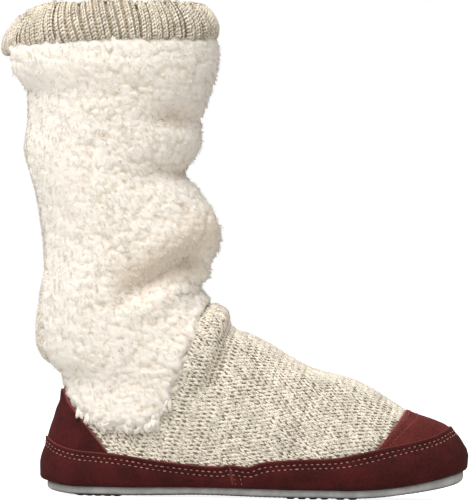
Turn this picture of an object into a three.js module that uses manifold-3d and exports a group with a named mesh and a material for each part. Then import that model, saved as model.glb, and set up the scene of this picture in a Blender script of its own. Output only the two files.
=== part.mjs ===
// Slipper boot, left foot: a knitted upper with a slouched shaft, a sherpa fleece panel round
// the front and sides, a turned rib cuff, suede toe cap, heel counter and foxing band, a footbed
// and a thin rubber outsole. Millimetres, +X to the toe, +Y to the outer side, +Z up.
// The origin is on the floor, at the centre of the heel tread.
import * as THREE from "three";
import { mergeVertices } from "three/addons/utils/BufferGeometryUtils.js";
import Module from "manifold-3d";

const wasm = await Module();
wasm.setup();

// Driving sizes

const GAP = 0.3;
const TREAD = 1.0;
const SOLE = 5.0;
const SOLE_INSET = 2.2;
const SOLE_TOE = { from: 188, to: 230, reach: 2.0, thicker: 1.6 };
const BAND = 2.0;
const BAND_TURN_IN = 9.0;
const FOOTBED = 5.0;
const WALL = 2.6;
const SUEDE = 1.4;
const FLEECE = 6.4;
const TUFT = 1.1;
const BACK_STRIP = 32;
const FEATHER = TREAD + SOLE + GAP + BAND + GAP;

const TOE_SPRING = { from: 156, to: 234, lift: 13.5 };
const HEEL_LIFT = { from: -12, to: -37, lift: 4.0 };
const LIFT_FADES_BY = 60;
const TOE_SWING = { from: 110, to: 231, inward: 7 };
const WAIST = { at: 62, reach: 36, inner: 1.25, outer: 0.75 };
const ARCH = { at: 66, reach: 30, rise: 0.9 };

const COLLAR = 285;
const COLUMNS = 32;
const RIBS = 48;
const RIB_DEPTH = 1.5;

// Each section of the upper lies at one height above the feather line. It runs from the back
// line to the front line of the side view.
const PROFILE = [
  { height: 0, back: -34.3, front: 230.6 },
  { height: 8, back: -34.4, front: 231.0 },
  { height: 18, back: -32.2, front: 227.4 },
  { height: 27, back: -30.6, front: 223.6 },
  { height: 34, back: -28.8, front: 218.4 },
  { height: 39, back: -27.2, front: 210.5 },
  { height: 45, back: -25.6, front: 196.5 },
  { height: 52, back: -23.2, front: 185.6 },
  { height: 60, back: -22.8, front: 172.8 },
  { height: 67, back: -23.6, front: 156.5 },
  { height: 72, back: -28.2, front: 136.5 },
  { height: 79, back: -36.4, front: 122.0 },
  { height: 88, back: -40.2, front: 107.0 },
  { height: 97, back: -40.6, front: 88.0 },
  { height: 104, back: -40.2, front: 73.0 },
  { height: 112, back: -39.0, front: 61.5 },
  { height: 120, back: -38.2, front: 56.5 },
  { height: 126, back: -37.0, front: 58.0 },
  { height: 133, back: -35.8, front: 64.0 },
  { height: 142, back: -36.2, front: 66.2 },
  { height: 155, back: -37.4, front: 69.0 },
  { height: 167, back: -39.2, front: 65.2 },
  { height: 182, back: -42.0, front: 56.0 },
  { height: 196, back: -46.2, front: 48.0 },
  { height: 210, back: -49.6, front: 53.8 },
  { height: 228, back: -47.6, front: 57.0 },
  { height: 246, back: -48.0, front: 61.5 },
  { height: 257, back: -55.6, front: 63.5 },
  { height: 265, back: -57.0, front: 64.5 },
  { height: 285, back: -57.0, front: 64.5 },
];

// Half width of a section, the place of its widest point, how full its two ends are, and how
// much its waist is drawn in.
const GIRTH = [
  { height: 0, half: 43.0, widest: 150, toe: 2.5, heel: 3.4, waist: 0.16 },
  { height: 10, half: 44.8, widest: 147, toe: 2.5, heel: 3.4, waist: 0.15 },
  { height: 27, half: 44.5, widest: 132, toe: 2.3, heel: 3.2, waist: 0.11 },
  { height: 45, half: 42.5, widest: 98, toe: 2.05, heel: 2.9, waist: 0.06 },
  { height: 67, half: 39.5, widest: 60, toe: 2.0, heel: 2.6, waist: 0.02 },
  { height: 97, half: 38.5, widest: 20, toe: 2.1, heel: 2.3, waist: 0 },
  { height: 120, half: 39.0, widest: 8, toe: 2.2, heel: 2.2, waist: 0 },
  { height: 148, half: 40.0, widest: 14, toe: 2.2, heel: 2.2, waist: 0 },
  { height: 196, half: 41.0, widest: 1, toe: 2.2, heel: 2.2, waist: 0 },
  { height: 246, half: 45.0, widest: 6, toe: 2.2, heel: 2.2, waist: 0 },
  { height: 265, half: 49.0, widest: 3, toe: 2.2, heel: 2.2, waist: 0 },
  { height: 285, half: 49.0, widest: 3, toe: 2.2, heel: 2.2, waist: 0 },
];

// Soft ridges (out above 0) and troughs (below 0), each along a line of the side view. The power
// of a fold's section is 2 for a bell, and 4 for a round roll.
const THROAT_FOLDS = [
  { name: "throat roll", x: 72.5, z: 113, toX: 58, toZ: 76, out: 8.0, endOut: 2.5, reach: 8.3, power: 4 },
  { name: "throat trough", x: 87, z: 105, toX: 71, toZ: 72, out: -1.4, endOut: -2.6, reach: 4.5, power: 2 },
];
const SHAFT_FOLDS = [
  { name: "slouch trough", x: 54, z: 148, toX: 17, toZ: 127, out: -6.0, endOut: -2.5, reach: 8, power: 2 },
  { name: "slouch ridge", x: 44, z: 130, toX: 22, toZ: 113, out: 3.0, endOut: 1.0, reach: 8, power: 2 },
  { name: "waist trough", x: 52, z: 205, toX: 12, toZ: 199, out: -2.5, endOut: -0.5, reach: 9, power: 2 },
  { name: "calf trough", x: 45, z: 239, toX: 18, toZ: 243, out: -3.5, endOut: -0.5, reach: 9, power: 2 },
];

// Top edge of the foxing band, in the side view.
const BAND_EDGE = [
  { x: -45, z: 42.0 },
  { x: -32, z: 37.4 },
  { x: -24.5, z: 32.1 },
  { x: -12, z: 28.7 },
  { x: 1, z: 27.7 },
  { x: 13.5, z: 26.7 },
  { x: 39, z: 23.1 },
  { x: 77, z: 20.2 },
  { x: 83, z: 21.4 },
  { x: 94, z: 20.3 },
  { x: 104, z: 23.2 },
  { x: 124, z: 25.1 },
  { x: 146, z: 26.2 },
  { x: 165, z: 29.5 },
  { x: 180, z: 32.9 },
  { x: 209, z: 39.4 },
  { x: 222, z: 45.6 },
  { x: 245, z: 56.0 },
];

// Lower and upper edge of the turned cuff, in the side view.
const CUFF_EDGE = [
  { x: -70, bottom: 273.5, top: 292.0 },
  { x: -52, bottom: 281.5, top: 301.5 },
  { x: -43, bottom: 283.1, top: 307.2 },
  { x: -30, bottom: 284.5, top: 309.5 },
  { x: 10, bottom: 287.0, top: 311.5 },
  { x: 50, bottom: 288.0, top: 311.5 },
  { x: 80, bottom: 288.5, top: 307.0 },
];

// Section of the cuff: distance out from the upper's face and share of the cuff's height. It is
// drawn in at every groove.
const CUFF_SECTION = [
  { out: 4.6, up: 0.0 },
  { out: 7.2, up: 0.18 },
  { out: 7.4, up: 0.42 },
  { out: 4.8, up: 0.7 },
  { out: 0.6, up: 0.91 },
  { out: -3.0, up: 1.0 },
  { out: -5.6, up: 0.6 },
];

// Cut lines of the overlays, in the side view
const TOE_CAP_EDGE = { top: { x: 195.2, z: 58 }, foot: { x: 176.6, z: 33.4 } };
const COUNTER_EDGE = [
  { x: -21.5, z: 67.0 },
  { x: -18.5, z: 59.5 },
  { x: -13.5, z: 53.0 },
  { x: -6.9, z: 44.4 },
  { x: 5.8, z: 28.2 },
];
const FLEECE_FRONT_EDGE = [
  { x: 82, z: 125.5 },
  { x: 70, z: 124.0 },
  { x: 65, z: 112.0 },
  { x: 61, z: 99.0 },
  { x: 55, z: 84.0 },
  { x: 45.5, z: 59.4 },
  { x: 36, z: 44.0 },
];
const FRINGE = { locks: 6, length: 5.0 };

// Tread lugs: bars across the sole, each group along a flat stretch of it.
const LUG_GROUPS = [
  { from: -13, to: 14, bars: 5 },
  { from: 119, to: 145, bars: 4 },
  { from: 150, to: 163, bars: 2 },
];
const LUG_SHARE = 0.68;
const LUG_EDGE_INSET = 9;

// Rounded lower edge of the outsole, from the tread up: distance in from the feather line.
const SOLE_EDGE = [
  { inset: SOLE_INSET + 4.0, z: 0 },
  { inset: SOLE_INSET + 1.2, z: 0.7 },
  { inset: SOLE_INSET, z: 2.2 },
  { inset: SOLE_INSET, z: SOLE },
];

// Rounded lower edge of the foxing band, from its turned-in underside up.
const BAND_LOW_EDGE = [
  { height: -GAP - BAND, out: -1.2 },
  { height: -GAP - BAND + 0.9, out: GAP + BAND - 0.8 },
  { height: 1.5, out: GAP + BAND },
];

// Limits of the side view, clear of the foot all round. The bare strip starts behind the shaft's
// middle.
const VIEW = { back: -45, front: 245, below: -20, above: 80 };
const STRIP_FROM = -5;

// Smooth curve through the rows of a table, with no overshoot between them.
function along(rows, key, column, at) {
  const last = rows.length - 1;
  const value = Math.min(Math.max(at, rows[0][key]), rows[last][key]);
  const i = Math.min(Math.max(rows.findIndex((r) => r[key] >= value) - 1, 0), last - 1);
  const step = (n) => rows[n + 1][key] - rows[n][key];
  const grade = (n) => (rows[n + 1][column] - rows[n][column]) / step(n);
  const slope = (n) => {
    if (n === 0) return grade(0);
    if (n === last) return grade(last - 1);
    const [a, b] = [grade(n - 1), grade(n)];
    if (a * b <= 0) return 0;
    const [wa, wb] = [2 * step(n) + step(n - 1), step(n) + 2 * step(n - 1)];
    return (wa + wb) / (wa / a + wb / b);
  };
  const t = (value - rows[i][key]) / step(i);
  const s = 1 - t;
  const ends = rows[i][column] * s * s * (1 + 2 * t) + rows[i + 1][column] * t * t * (1 + 2 * s);
  return ends + step(i) * s * t * (slope(i) * s - slope(i + 1) * t);
}

const share = (value, from, to) => Math.min(Math.max((value - from) / (to - from), 0), 1);
const smooth = (t) => t * t * (3 - 2 * t);
const bell = (t) => Math.exp(-t * t);

// Lift of the sole line at toe and heel.
function lift(x) {
  const toe = TOE_SPRING.lift * share(x, TOE_SPRING.from, TOE_SPRING.to) ** 2;
  const heel = HEEL_LIFT.lift * share(x, HEEL_LIFT.from, HEEL_LIFT.to) ** 2;
  return toe + heel;
}

const sectionZ = (x, height) => FEATHER + height + lift(x) * (1 - smooth(share(height, 0, LIFT_FADES_BY)));
const swing = (x) => -TOE_SWING.inward * share(x, TOE_SWING.from, TOE_SWING.to) ** 2;

// Point of the plain last form. Angle 0 is the toe or shin, 90 degrees the inner side, 180 the
// heel or calf and 270 the outer side.
function lastPoint(angle, height) {
  const row = (column) => along(GIRTH, "height", column, height);
  const [cos, sin] = [Math.cos(angle), Math.sin(angle)];
  const widest = row("widest");
  const end = along(PROFILE, "height", cos > 0 ? "front" : "back", height);
  const x = widest + (end - widest) * Math.abs(cos) ** (2 / row(cos > 0 ? "toe" : "heel"));
  const drawnIn = row("waist") * (sin > 0 ? WAIST.inner : WAIST.outer) * bell((x - WAIST.at) / WAIST.reach);
  const y = swing(x) - row("half") * sin * (1 - drawnIn);
  return new THREE.Vector3(x, y, sectionZ(x, height));
}

function lastNormal(angle, height) {
  const [turn, climb] = [0.01, 0.5];
  const around = lastPoint(angle + turn, height).sub(lastPoint(angle - turn, height));
  const low = Math.max(height - climb, 0);
  const high = Math.min(height + climb, COLLAR);
  const upward = lastPoint(angle, high).sub(lastPoint(angle, low));
  return upward.cross(around).normalize();
}

// Height of the folds at a place of the side view.
function foldOut(folds, x, z) {
  const one = (f) => {
    const [dx, dz] = [f.toX - f.x, f.toZ - f.z];
    const t = share((x - f.x) * dx + (z - f.z) * dz, 0, dx * dx + dz * dz);
    const away = Math.hypot(x - f.x - dx * t, z - f.z - dz * t);
    return (f.out + (f.endOut - f.out) * t) * Math.exp(-((away / f.reach) ** f.power));
  };
  return folds.reduce((sum, f) => sum + one(f), 0);
}

// Point at a distance out from the face of the upper.
const ALL_FOLDS = [...THROAT_FOLDS, ...SHAFT_FOLDS];
function upperPoint(angle, height, out, folds = ALL_FOLDS) {
  const p = lastPoint(angle, height);
  return p.addScaledVector(lastNormal(angle, height), foldOut(folds, p.x, p.z) + out);
}

// Angles of a section's columns, close together at toe and heel and even along the sides.
function columnAngles(height, columns) {
  const steps = 360;
  const angles = Array.from({ length: steps + 1 }, (_, i) => (i / steps) * Math.PI);
  const half = (side) => {
    const points = angles.map((a) => lastPoint(side * a, height));
    const run = [0];
    points.slice(1).forEach((p, i) => run.push(run[i] + p.distanceTo(points[i])));
    const mixed = run.map((r, i) => (r / run[steps] + i / steps) / 2);
    const count = columns / 2;
    return Array.from({ length: count }, (_, n) => {
      const i = Math.min(mixed.findIndex((m) => m >= n / count), steps);
      const t = i === 0 ? 0 : (n / count - mixed[i - 1]) / (mixed[i] - mixed[i - 1]);
      return side * (i === 0 ? 0 : angles[i - 1] + (angles[i] - angles[i - 1]) * t);
    });
  };
  const inner = half(1);
  const outer = half(-1).slice(1).reverse();
  return [...inner, Math.PI, ...outer];
}

const angleCache = new Map();
function anglesAt(height) {
  if (!angleCache.has(height)) angleCache.set(height, columnAngles(height, COLUMNS));
  return angleCache.get(height);
}

// Ring of points round the upper. Below the feather line it goes straight down.
function ring(height, out) {
  const level = Math.max(height, 0);
  const drop = new THREE.Vector3(0, 0, height - level);
  return anglesAt(level).map((angle) => upperPoint(angle, level, out).add(drop));
}

// Closed geometry from rings stacked upwards. The two ends are closed from side to side.
function stackGeometry(rings) {
  const count = rings[0].length;
  const triangles = [];
  const quad = (a, b, c, d) => triangles.push(a, b, c, a, c, d);
  for (let r = 0; r + 1 < rings.length; r++) {
    for (let j = 0; j < count; j++) {
      const k = (j + 1) % count;
      quad(r * count + k, r * count + j, (r + 1) * count + j, (r + 1) * count + k);
    }
  }
  const end = (start, up) => {
    for (let j = 0; j < count / 2; j++) {
      const [a, b] = [start + j, start + j + 1];
      const [c, d] = [start + (count - j - 1), start + ((count - j) % count)];
      const faces = [[a, b, c], [a, c, d]].filter((f) => new Set(f).size === 3);
      faces.forEach((f) => triangles.push(...(up ? [f[0], f[2], f[1]] : f)));
    }
  };
  end(0, false);
  end((rings.length - 1) * count, true);
  return meshGeometry(rings.flat(), triangles);
}

// Closed geometry of a tube that runs round and joins itself. Each loop is one section.
function loopGeometry(loops) {
  const count = loops[0].length;
  const triangles = [];
  loops.forEach((_, r) => {
    const next = (r + 1) % loops.length;
    for (let j = 0; j < count; j++) {
      const k = (j + 1) % count;
      const [a, b, c, d] = [r * count + j, r * count + k, next * count + k, next * count + j];
      triangles.push(a, b, c, a, c, d);
    }
  });
  return meshGeometry(loops.flat(), triangles);
}

function meshGeometry(points, triangles) {
  const positions = new Float32Array(points.flatMap((p) => [p.x, p.y, p.z]));
  const geometry = new THREE.BufferGeometry();
  geometry.setAttribute("position", new THREE.BufferAttribute(positions, 3));
  return geometry.setIndex(triangles);
}

// Between three.js geometry and manifold-3d solids

function solid(geometry) {
  const bare = geometry.clone();
  bare.deleteAttribute("normal");
  bare.deleteAttribute("uv");
  const merged = mergeVertices(bare, 1e-3);
  return new wasm.Manifold(
    new wasm.Mesh({
      numProp: 3,
      vertProperties: new Float32Array(merged.attributes.position.array),
      triVerts: new Uint32Array(merged.index.array),
    }),
  );
}

function geometryOf(manifold) {
  const mesh = manifold.getMesh();
  const geometry = new THREE.BufferGeometry();
  geometry.setAttribute("position", new THREE.BufferAttribute(mesh.vertProperties.slice(), 3));
  return geometry.setIndex(new THREE.BufferAttribute(mesh.triVerts.slice(), 1));
}

// Solid of a side view outline, right through the boot from side to side.
const ACROSS = 200;
function sidePrism(points) {
  const shape = new THREE.Shape(points.map((p) => new THREE.Vector2(p.x, p.z)));
  const geometry = new THREE.ExtrudeGeometry(shape, { depth: ACROSS, bevelEnabled: false });
  return solid(geometry.rotateX(Math.PI / 2).translate(0, ACROSS / 2, 0));
}

const form = (heights, out) => solid(stackGeometry(heights.map((h) => ring(h, out))));

const EDGE_STEP = 14;
function edgePoints(rows, column, raise, step) {
  const [from, to] = [rows[0].x, rows[rows.length - 1].x];
  const count = Math.round((to - from) / step);
  const at = (i) => from + ((to - from) * i) / count;
  return Array.from({ length: count + 1 }, (_, i) => ({
    x: at(i),
    z: along(rows, "x", column, at(i)) + raise,
  }));
}

// Section heights: close where the form turns quickly, wide along the shaft.
const FOOT_HEIGHTS = [0, 8, 18, 27, 34, 39, 45, 52, 60, 67];
const INSIDE_FOOT_HEIGHTS = [34, 45, 60, 67];
const THROAT_HEIGHTS = [73, 80, 88, 93, 97, 101, 105, 110, 115, 121];
const SHAFT_HEIGHTS = [...THROAT_HEIGHTS, 131, 143, 156, 169, 183, 196, 209, 227];
const TOP_HEIGHTS = [243, 257, 265, COLLAR];
const HEIGHTS = [...FOOT_HEIGHTS, ...SHAFT_HEIGHTS, ...TOP_HEIGHTS];

// Outsole: rubber sheet with a rounded lower edge, toe spring, a slight arch and tread bars.
function outsole() {
  const soleRing = (inset, z) =>
    ring(0, -inset).map((p) => {
      const arch = z < SOLE ? ARCH.rise * bell((p.x - ARCH.at) / ARCH.reach) : 0;
      const toe = smooth(share(p.x, SOLE_TOE.from, SOLE_TOE.to));
      const x = p.x + SOLE_TOE.reach * toe;
      const deeper = SOLE_TOE.thicker * toe * (1 - z / SOLE);
      return new THREE.Vector3(x, p.y, TREAD + z + arch + lift(x) - deeper);
    });
  const sheet = solid(stackGeometry(SOLE_EDGE.map((r) => soleRing(r.inset, r.z))));
  const inside = ring(0, -SOLE_INSET - LUG_EDGE_INSET);
  const treadArea = solid(
    stackGeometry([0, TREAD + SOLE / 2].map((z) => inside.map((p) => new THREE.Vector3(p.x, p.y, z)))),
  );
  const bars = LUG_GROUPS.flatMap((g) => {
    const pitch = (g.to - g.from) / g.bars;
    return Array.from({ length: g.bars }, (_, i) => {
      const bar = new THREE.BoxGeometry(pitch * LUG_SHARE, ACROSS, ACROSS);
      return solid(bar.translate(g.from + pitch * (i + 0.5), 0, 0)).intersect(treadArea);
    });
  });
  return geometryOf(bars.reduce((sum, bar) => sum.add(bar), sheet));
}

// Foxing band: suede strip round the foot, turned in under the upper where the sole is stuck on.
function foxingBand() {
  const sides = FOOT_HEIGHTS.slice(1, 6);
  const rounding = BAND_LOW_EDGE.map((r) => ring(r.height, r.out));
  const outer = solid(stackGeometry([...rounding, ...sides.map((h) => ring(h, GAP + BAND))]));
  const inner = form([-GAP, 0, ...sides], GAP);
  const opening = form([-2 * BAND_TURN_IN, BAND_TURN_IN], -BAND_TURN_IN);
  const edge = edgePoints(BAND_EDGE, "z", 0, EDGE_STEP);
  const below = sidePrism([...edge, { x: VIEW.front, z: VIEW.below }, { x: VIEW.back, z: VIEW.below }]);
  return geometryOf(outer.subtract(inner).subtract(opening).intersect(below));
}

// Footbed: foam sheet inside the upper, on the turned-in band.
function footbed() {
  const inset = -WALL - GAP;
  return stackGeometry([ring(0, inset), ring(FOOTBED, inset)]);
}

// Upper: one knitted wall from the sole to the collar, open above and below.
function upper() {
  const outer = form(HEIGHTS, 0);
  const levels = [-WALL, 0, FOOTBED, ...INSIDE_FOOT_HEIGHTS, ...SHAFT_HEIGHTS, ...TOP_HEIGHTS];
  const rings = levels.map((h) => ring(h, -WALL));
  const mouth = rings[rings.length - 1].map((p) => new THREE.Vector3(p.x, p.y, p.z + WALL));
  return geometryOf(outer.subtract(solid(stackGeometry([...rings, mouth]))));
}

// Suede overlays: a wall round the upper, cut to an outline of the side view.
function overlay(heights, thickness, outline) {
  const wall = form(heights, GAP + thickness).subtract(form(heights, GAP));
  return wall.intersect(sidePrism(outline));
}

function toeCap() {
  const { top, foot } = TOE_CAP_EDGE;
  const edge = edgePoints(BAND_EDGE, "z", GAP, EDGE_STEP).filter((p) => p.x > foot.x + 1);
  const outline = [foot, ...edge, { x: VIEW.front, z: VIEW.above }, { x: top.x, z: VIEW.above }, top];
  return geometryOf(overlay(FOOT_HEIGHTS, SUEDE, outline));
}

function heelCounter() {
  const foot = COUNTER_EDGE[COUNTER_EDGE.length - 1];
  const edge = edgePoints(BAND_EDGE, "z", GAP, EDGE_STEP).filter((p) => p.x < foot.x);
  const crown = { x: VIEW.back, z: COUNTER_EDGE[0].z };
  const outline = [...edge, ...COUNTER_EDGE.toReversed(), crown];
  return geometryOf(overlay(FOOT_HEIGHTS, SUEDE, outline));
}

// Fleece panel: deep pile round the front and both sides of the shaft, with staggered tufts on
// its face and locks that hang along its lower edge.
function fleecePanel() {
  const heights = HEIGHTS.filter((h) => h > FOOT_HEIGHTS[2]);
  const tuftHeights = heights.filter((h, i) => h < SHAFT_HEIGHTS[0] || h > COLLAR / 2 || i % 2 === 0);
  const face = tuftHeights.map((height, level) =>
    anglesAt(height).map((angle, column) => {
      const tuft = (column + level) % 2 === 0 ? TUFT : -TUFT;
      return upperPoint(angle, height, GAP + FLEECE + tuft, SHAFT_FOLDS);
    }),
  );
  const pile = solid(stackGeometry(face)).subtract(form(heights, GAP));
  const tip = FLEECE_FRONT_EDGE[FLEECE_FRONT_EDGE.length - 1];
  const heelSide = COUNTER_EDGE.slice(0, 4).map((p) => ({ x: p.x + GAP, z: p.z + GAP }));
  const hem = heelSide[heelSide.length - 1];
  const fringe = Array.from({ length: 2 * FRINGE.locks - 1 }, (_, i) => {
    const t = (i + 1) / (2 * FRINGE.locks);
    const hang = i % 2 === 0 ? FRINGE.length : 0;
    return { x: tip.x + (hem.x - tip.x) * t, z: tip.z + (hem.z - tip.z) * t - hang };
  });
  const cuffLine = edgePoints(CUFF_EDGE, "bottom", -GAP, EDGE_STEP);
  const behind = { x: cuffLine[0].x, z: heelSide[0].z };
  const ahead = { x: cuffLine[cuffLine.length - 1].x, z: FLEECE_FRONT_EDGE[0].z };
  const sides = [...fringe, ...heelSide.toReversed(), behind, ...cuffLine, ahead];
  const panel = pile.intersect(sidePrism([...FLEECE_FRONT_EDGE.slice(1), ...sides]));
  const strip = new THREE.BoxGeometry(ACROSS, BACK_STRIP, 4 * ACROSS);
  strip.translate(STRIP_FROM - ACROSS / 2, 0, 0);
  return geometryOf(panel.subtract(solid(strip)));
}

// Rib cuff: a knitted double layer folded over the collar, with a rib at every other column.
function cuff() {
  const angles = columnAngles(COLLAR, 2 * RIBS);
  const collarTop = sectionZ(0, COLLAR) + GAP;
  const sections = angles.map((angle, column) => {
    const face = upperPoint(angle, COLLAR, 0);
    const normal = lastNormal(angle, COLLAR).setZ(0).normalize();
    const bottom = along(CUFF_EDGE, "x", "bottom", face.x);
    const top = along(CUFF_EDGE, "x", "top", face.x);
    const at = (out, z) => face.clone().addScaledVector(normal, out).setZ(z);
    const groove = column % 2 === 0 ? 0 : RIB_DEPTH;
    const shell = CUFF_SECTION.map((row) => {
      const sign = row.out < 0 ? -1 : 1;
      const sink = row.up === 1 ? groove : 0;
      return at(row.out - sign * groove, bottom + (top - bottom) * row.up - sink);
    });
    const slot = [at(-WALL - 2 * GAP, collarTop), at(GAP, collarTop), at(GAP, bottom)];
    return [...shell, ...slot];
  });
  return loopGeometry(sections);
}

const COLOURS = {
  rubber: { color: 0x8c8c89, roughness: 0.85 },
  suede: { color: 0x54221f, roughness: 0.95 },
  knit: { color: 0xd6cab5, roughness: 0.95 },
  fleece: { color: 0xf3eadc, roughness: 1 },
  felt: { color: 0xd8cfc0, roughness: 0.95 },
};

const boot = new THREE.Group();
boot.name = "slipper_boot";

function add(name, finish, geometry) {
  geometry.computeVertexNormals();
  const material = new THREE.MeshStandardMaterial({ ...COLOURS[finish], metalness: 0 });
  const mesh = new THREE.Mesh(geometry, material);
  mesh.name = name;
  boot.add(mesh);
}

add("outsole", "rubber", outsole());
add("foxing_band", "suede", foxingBand());
add("footbed", "felt", footbed());
add("upper", "knit", upper());
add("toe_cap", "suede", toeCap());
add("heel_counter", "suede", heelCounter());
add("fleece_panel", "fleece", fleecePanel());
add("rib_cuff", "knit", cuff());

export default boot;
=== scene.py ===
import math

import bpy
import numpy as np
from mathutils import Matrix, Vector


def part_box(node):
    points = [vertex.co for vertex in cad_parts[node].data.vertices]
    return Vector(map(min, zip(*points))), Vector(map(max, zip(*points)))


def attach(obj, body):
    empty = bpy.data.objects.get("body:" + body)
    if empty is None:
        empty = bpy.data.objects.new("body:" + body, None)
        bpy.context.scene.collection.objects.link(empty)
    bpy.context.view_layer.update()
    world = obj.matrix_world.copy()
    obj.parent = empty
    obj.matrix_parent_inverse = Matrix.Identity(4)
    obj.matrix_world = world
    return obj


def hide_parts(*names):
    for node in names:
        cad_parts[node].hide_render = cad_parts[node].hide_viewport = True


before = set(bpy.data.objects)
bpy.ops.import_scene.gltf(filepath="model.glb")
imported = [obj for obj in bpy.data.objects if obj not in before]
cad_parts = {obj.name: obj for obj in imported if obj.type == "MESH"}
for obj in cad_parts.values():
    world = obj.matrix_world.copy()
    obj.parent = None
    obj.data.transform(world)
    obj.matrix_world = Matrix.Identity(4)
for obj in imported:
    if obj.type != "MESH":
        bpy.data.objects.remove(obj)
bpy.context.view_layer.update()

# Upper. Foot and shaft are one tube of felted wool knit, worked to the shape of a last and
# slouched in soft folds. It is open at the collar, and below where the sole closes it.
# Sizes in this file are millimetres, with the heel tread at the origin and the toe along +X.
MM = 0.001
GAP = 0.3
WALL = 2.6
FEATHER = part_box("upper")[0][2] / MM
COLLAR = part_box("upper")[1][2] / MM - FEATHER
KNIT_SINK = 0.4
TOE_SPRING = {"start": 156, "end": 234, "lift": 13.5}
HEEL_LIFT = {"start": -12, "end": -37, "lift": 4.0}
LIFT_FADES_BY = 60
TOE_SWING = {"start": 110, "end": 231, "inward": 7}
WAIST = {"at": 62, "reach": 36, "inner": 1.25, "outer": 0.75}

SECTION_LINES = [("height", float), ("back", float), ("front", float)]
PROFILE = np.array([
    (0, -34.3, 230.6),
    (8, -34.4, 231.0),
    (18, -32.2, 227.4),
    (27, -30.6, 223.6),
    (34, -28.8, 218.4),
    (39, -27.2, 210.5),
    (45, -25.6, 196.5),
    (52, -23.2, 185.6),
    (60, -22.8, 172.8),
    (67, -23.6, 156.5),
    (72, -28.2, 136.5),
    (79, -36.4, 122.0),
    (88, -40.2, 107.0),
    (97, -40.6, 88.0),
    (104, -40.2, 73.0),
    (112, -39.0, 61.5),
    (120, -38.2, 56.5),
    (126, -37.0, 58.0),
    (133, -35.8, 64.0),
    (142, -36.2, 66.2),
    (155, -37.4, 69.0),
    (167, -39.2, 65.2),
    (182, -42.0, 56.0),
    (196, -46.2, 48.0),
    (210, -49.6, 53.8),
    (228, -47.6, 57.0),
    (246, -48.0, 61.5),
    (257, -55.6, 63.5),
    (265, -57.0, 64.5),
    (285, -57.0, 64.5),
], dtype=SECTION_LINES)

SECTION_WIDTHS = [(c, float) for c in ("height", "half", "widest", "toe", "heel", "waist")]
GIRTH = np.array([
    (0, 43.0, 150, 2.5, 3.4, 0.16),
    (10, 44.8, 147, 2.5, 3.4, 0.15),
    (27, 44.5, 132, 2.3, 3.2, 0.11),
    (45, 42.5, 98, 2.05, 2.9, 0.06),
    (67, 39.5, 60, 2.0, 2.6, 0.02),
    (97, 38.5, 20, 2.1, 2.3, 0),
    (120, 39.0, 8, 2.2, 2.2, 0),
    (148, 40.0, 14, 2.2, 2.2, 0),
    (196, 41.0, 1, 2.2, 2.2, 0),
    (246, 45.0, 6, 2.2, 2.2, 0),
    (265, 49.0, 3, 2.2, 2.2, 0),
    (285, 49.0, 3, 2.2, 2.2, 0),
], dtype=SECTION_WIDTHS)

# Ridges (out above 0) and troughs (below 0), each along a line of the side view.
FOLD_LINE = [(c, float) for c in ("x", "z", "to_x", "to_z", "out", "end_out", "reach", "power")]
THROAT_FOLDS = np.array([
    (72.5, 113, 58, 76, 8.0, 2.5, 8.3, 4),
    (87, 105, 71, 72, -1.4, -2.6, 4.5, 2),
], dtype=FOLD_LINE)
SHAFT_FOLDS = np.array([
    (54, 148, 17, 127, -6.0, -2.5, 8, 2),
    (44, 130, 22, 113, 3.0, 1.0, 8, 2),
    (52, 205, 12, 199, -2.5, -0.5, 9, 2),
    (45, 239, 18, 243, -3.5, -0.5, 9, 2),
], dtype=FOLD_LINE)
ALL_FOLDS = np.concatenate([THROAT_FOLDS, SHAFT_FOLDS])


def along(table, key, column, at):
    """Smooth curve through a table's rows, with no overshoot between them."""
    x, y = table[key], table[column]
    step = np.diff(x)
    grade = np.diff(y) / step
    before, after = grade[:-1], grade[1:]
    near, far = 2 * step[1:] + step[:-1], step[1:] + 2 * step[:-1]
    with np.errstate(divide="ignore", invalid="ignore"):
        mean = (near + far) / (near / before + far / after)
    slope = np.concatenate([grade[:1], np.where(before * after > 0, mean, 0), grade[-1:]])
    at = np.clip(at, x[0], x[-1])
    i = np.clip(np.searchsorted(x, at, side="right") - 1, 0, len(x) - 2)
    t = (at - x[i]) / step[i]
    s = 1 - t
    ends = y[i] * s * s * (1 + 2 * t) + y[i + 1] * t * t * (1 + 2 * s)
    return ends + step[i] * s * t * (slope[i] * s - slope[i + 1] * t)


def share(value, start, end):
    """How far a value has come from a start to an end, from 0 to 1."""
    return np.clip((value - start) / (end - start), 0, 1)


def smooth(t):
    """Eases a share at both ends."""
    return t * t * (3 - 2 * t)


def bell(t):
    """1 in the middle, falling softly to 0 on both sides."""
    return np.exp(-t * t)


def lift(x):
    """Lift of the sole line: toe spring ahead of the ball, and a little under the heel's end."""
    rise = lambda end: end["lift"] * share(x, end["start"], end["end"]) ** 2
    return rise(TOE_SPRING) + rise(HEEL_LIFT)


def middle_line(x):
    """Sideways place of the foot's middle, which swings inward at the toe."""
    return -TOE_SWING["inward"] * share(x, TOE_SWING["start"], TOE_SWING["end"]) ** 2


def last_point(angle, height):
    """Point of the last: angle 0 is the toe or shin, 90 degrees the inner side, 180 the heel."""
    cos, sin = np.cos(angle), np.sin(angle)
    ahead = cos > 0
    row = lambda column: along(GIRTH, "height", column, height)
    line = lambda column: along(PROFILE, "height", column, height)
    widest = row("widest")
    end = np.where(ahead, line("front"), line("back"))
    x = widest + (end - widest) * np.abs(cos) ** (2 / np.where(ahead, row("toe"), row("heel")))
    hollow = np.where(sin > 0, WAIST["inner"], WAIST["outer"])
    drawn_in = row("waist") * hollow * bell((x - WAIST["at"]) / WAIST["reach"])
    y = middle_line(x) - row("half") * sin * (1 - drawn_in)
    z = FEATHER + height + lift(x) * (1 - smooth(share(height, 0, LIFT_FADES_BY)))
    return np.stack(np.broadcast_arrays(x, y, z), -1)


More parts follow.
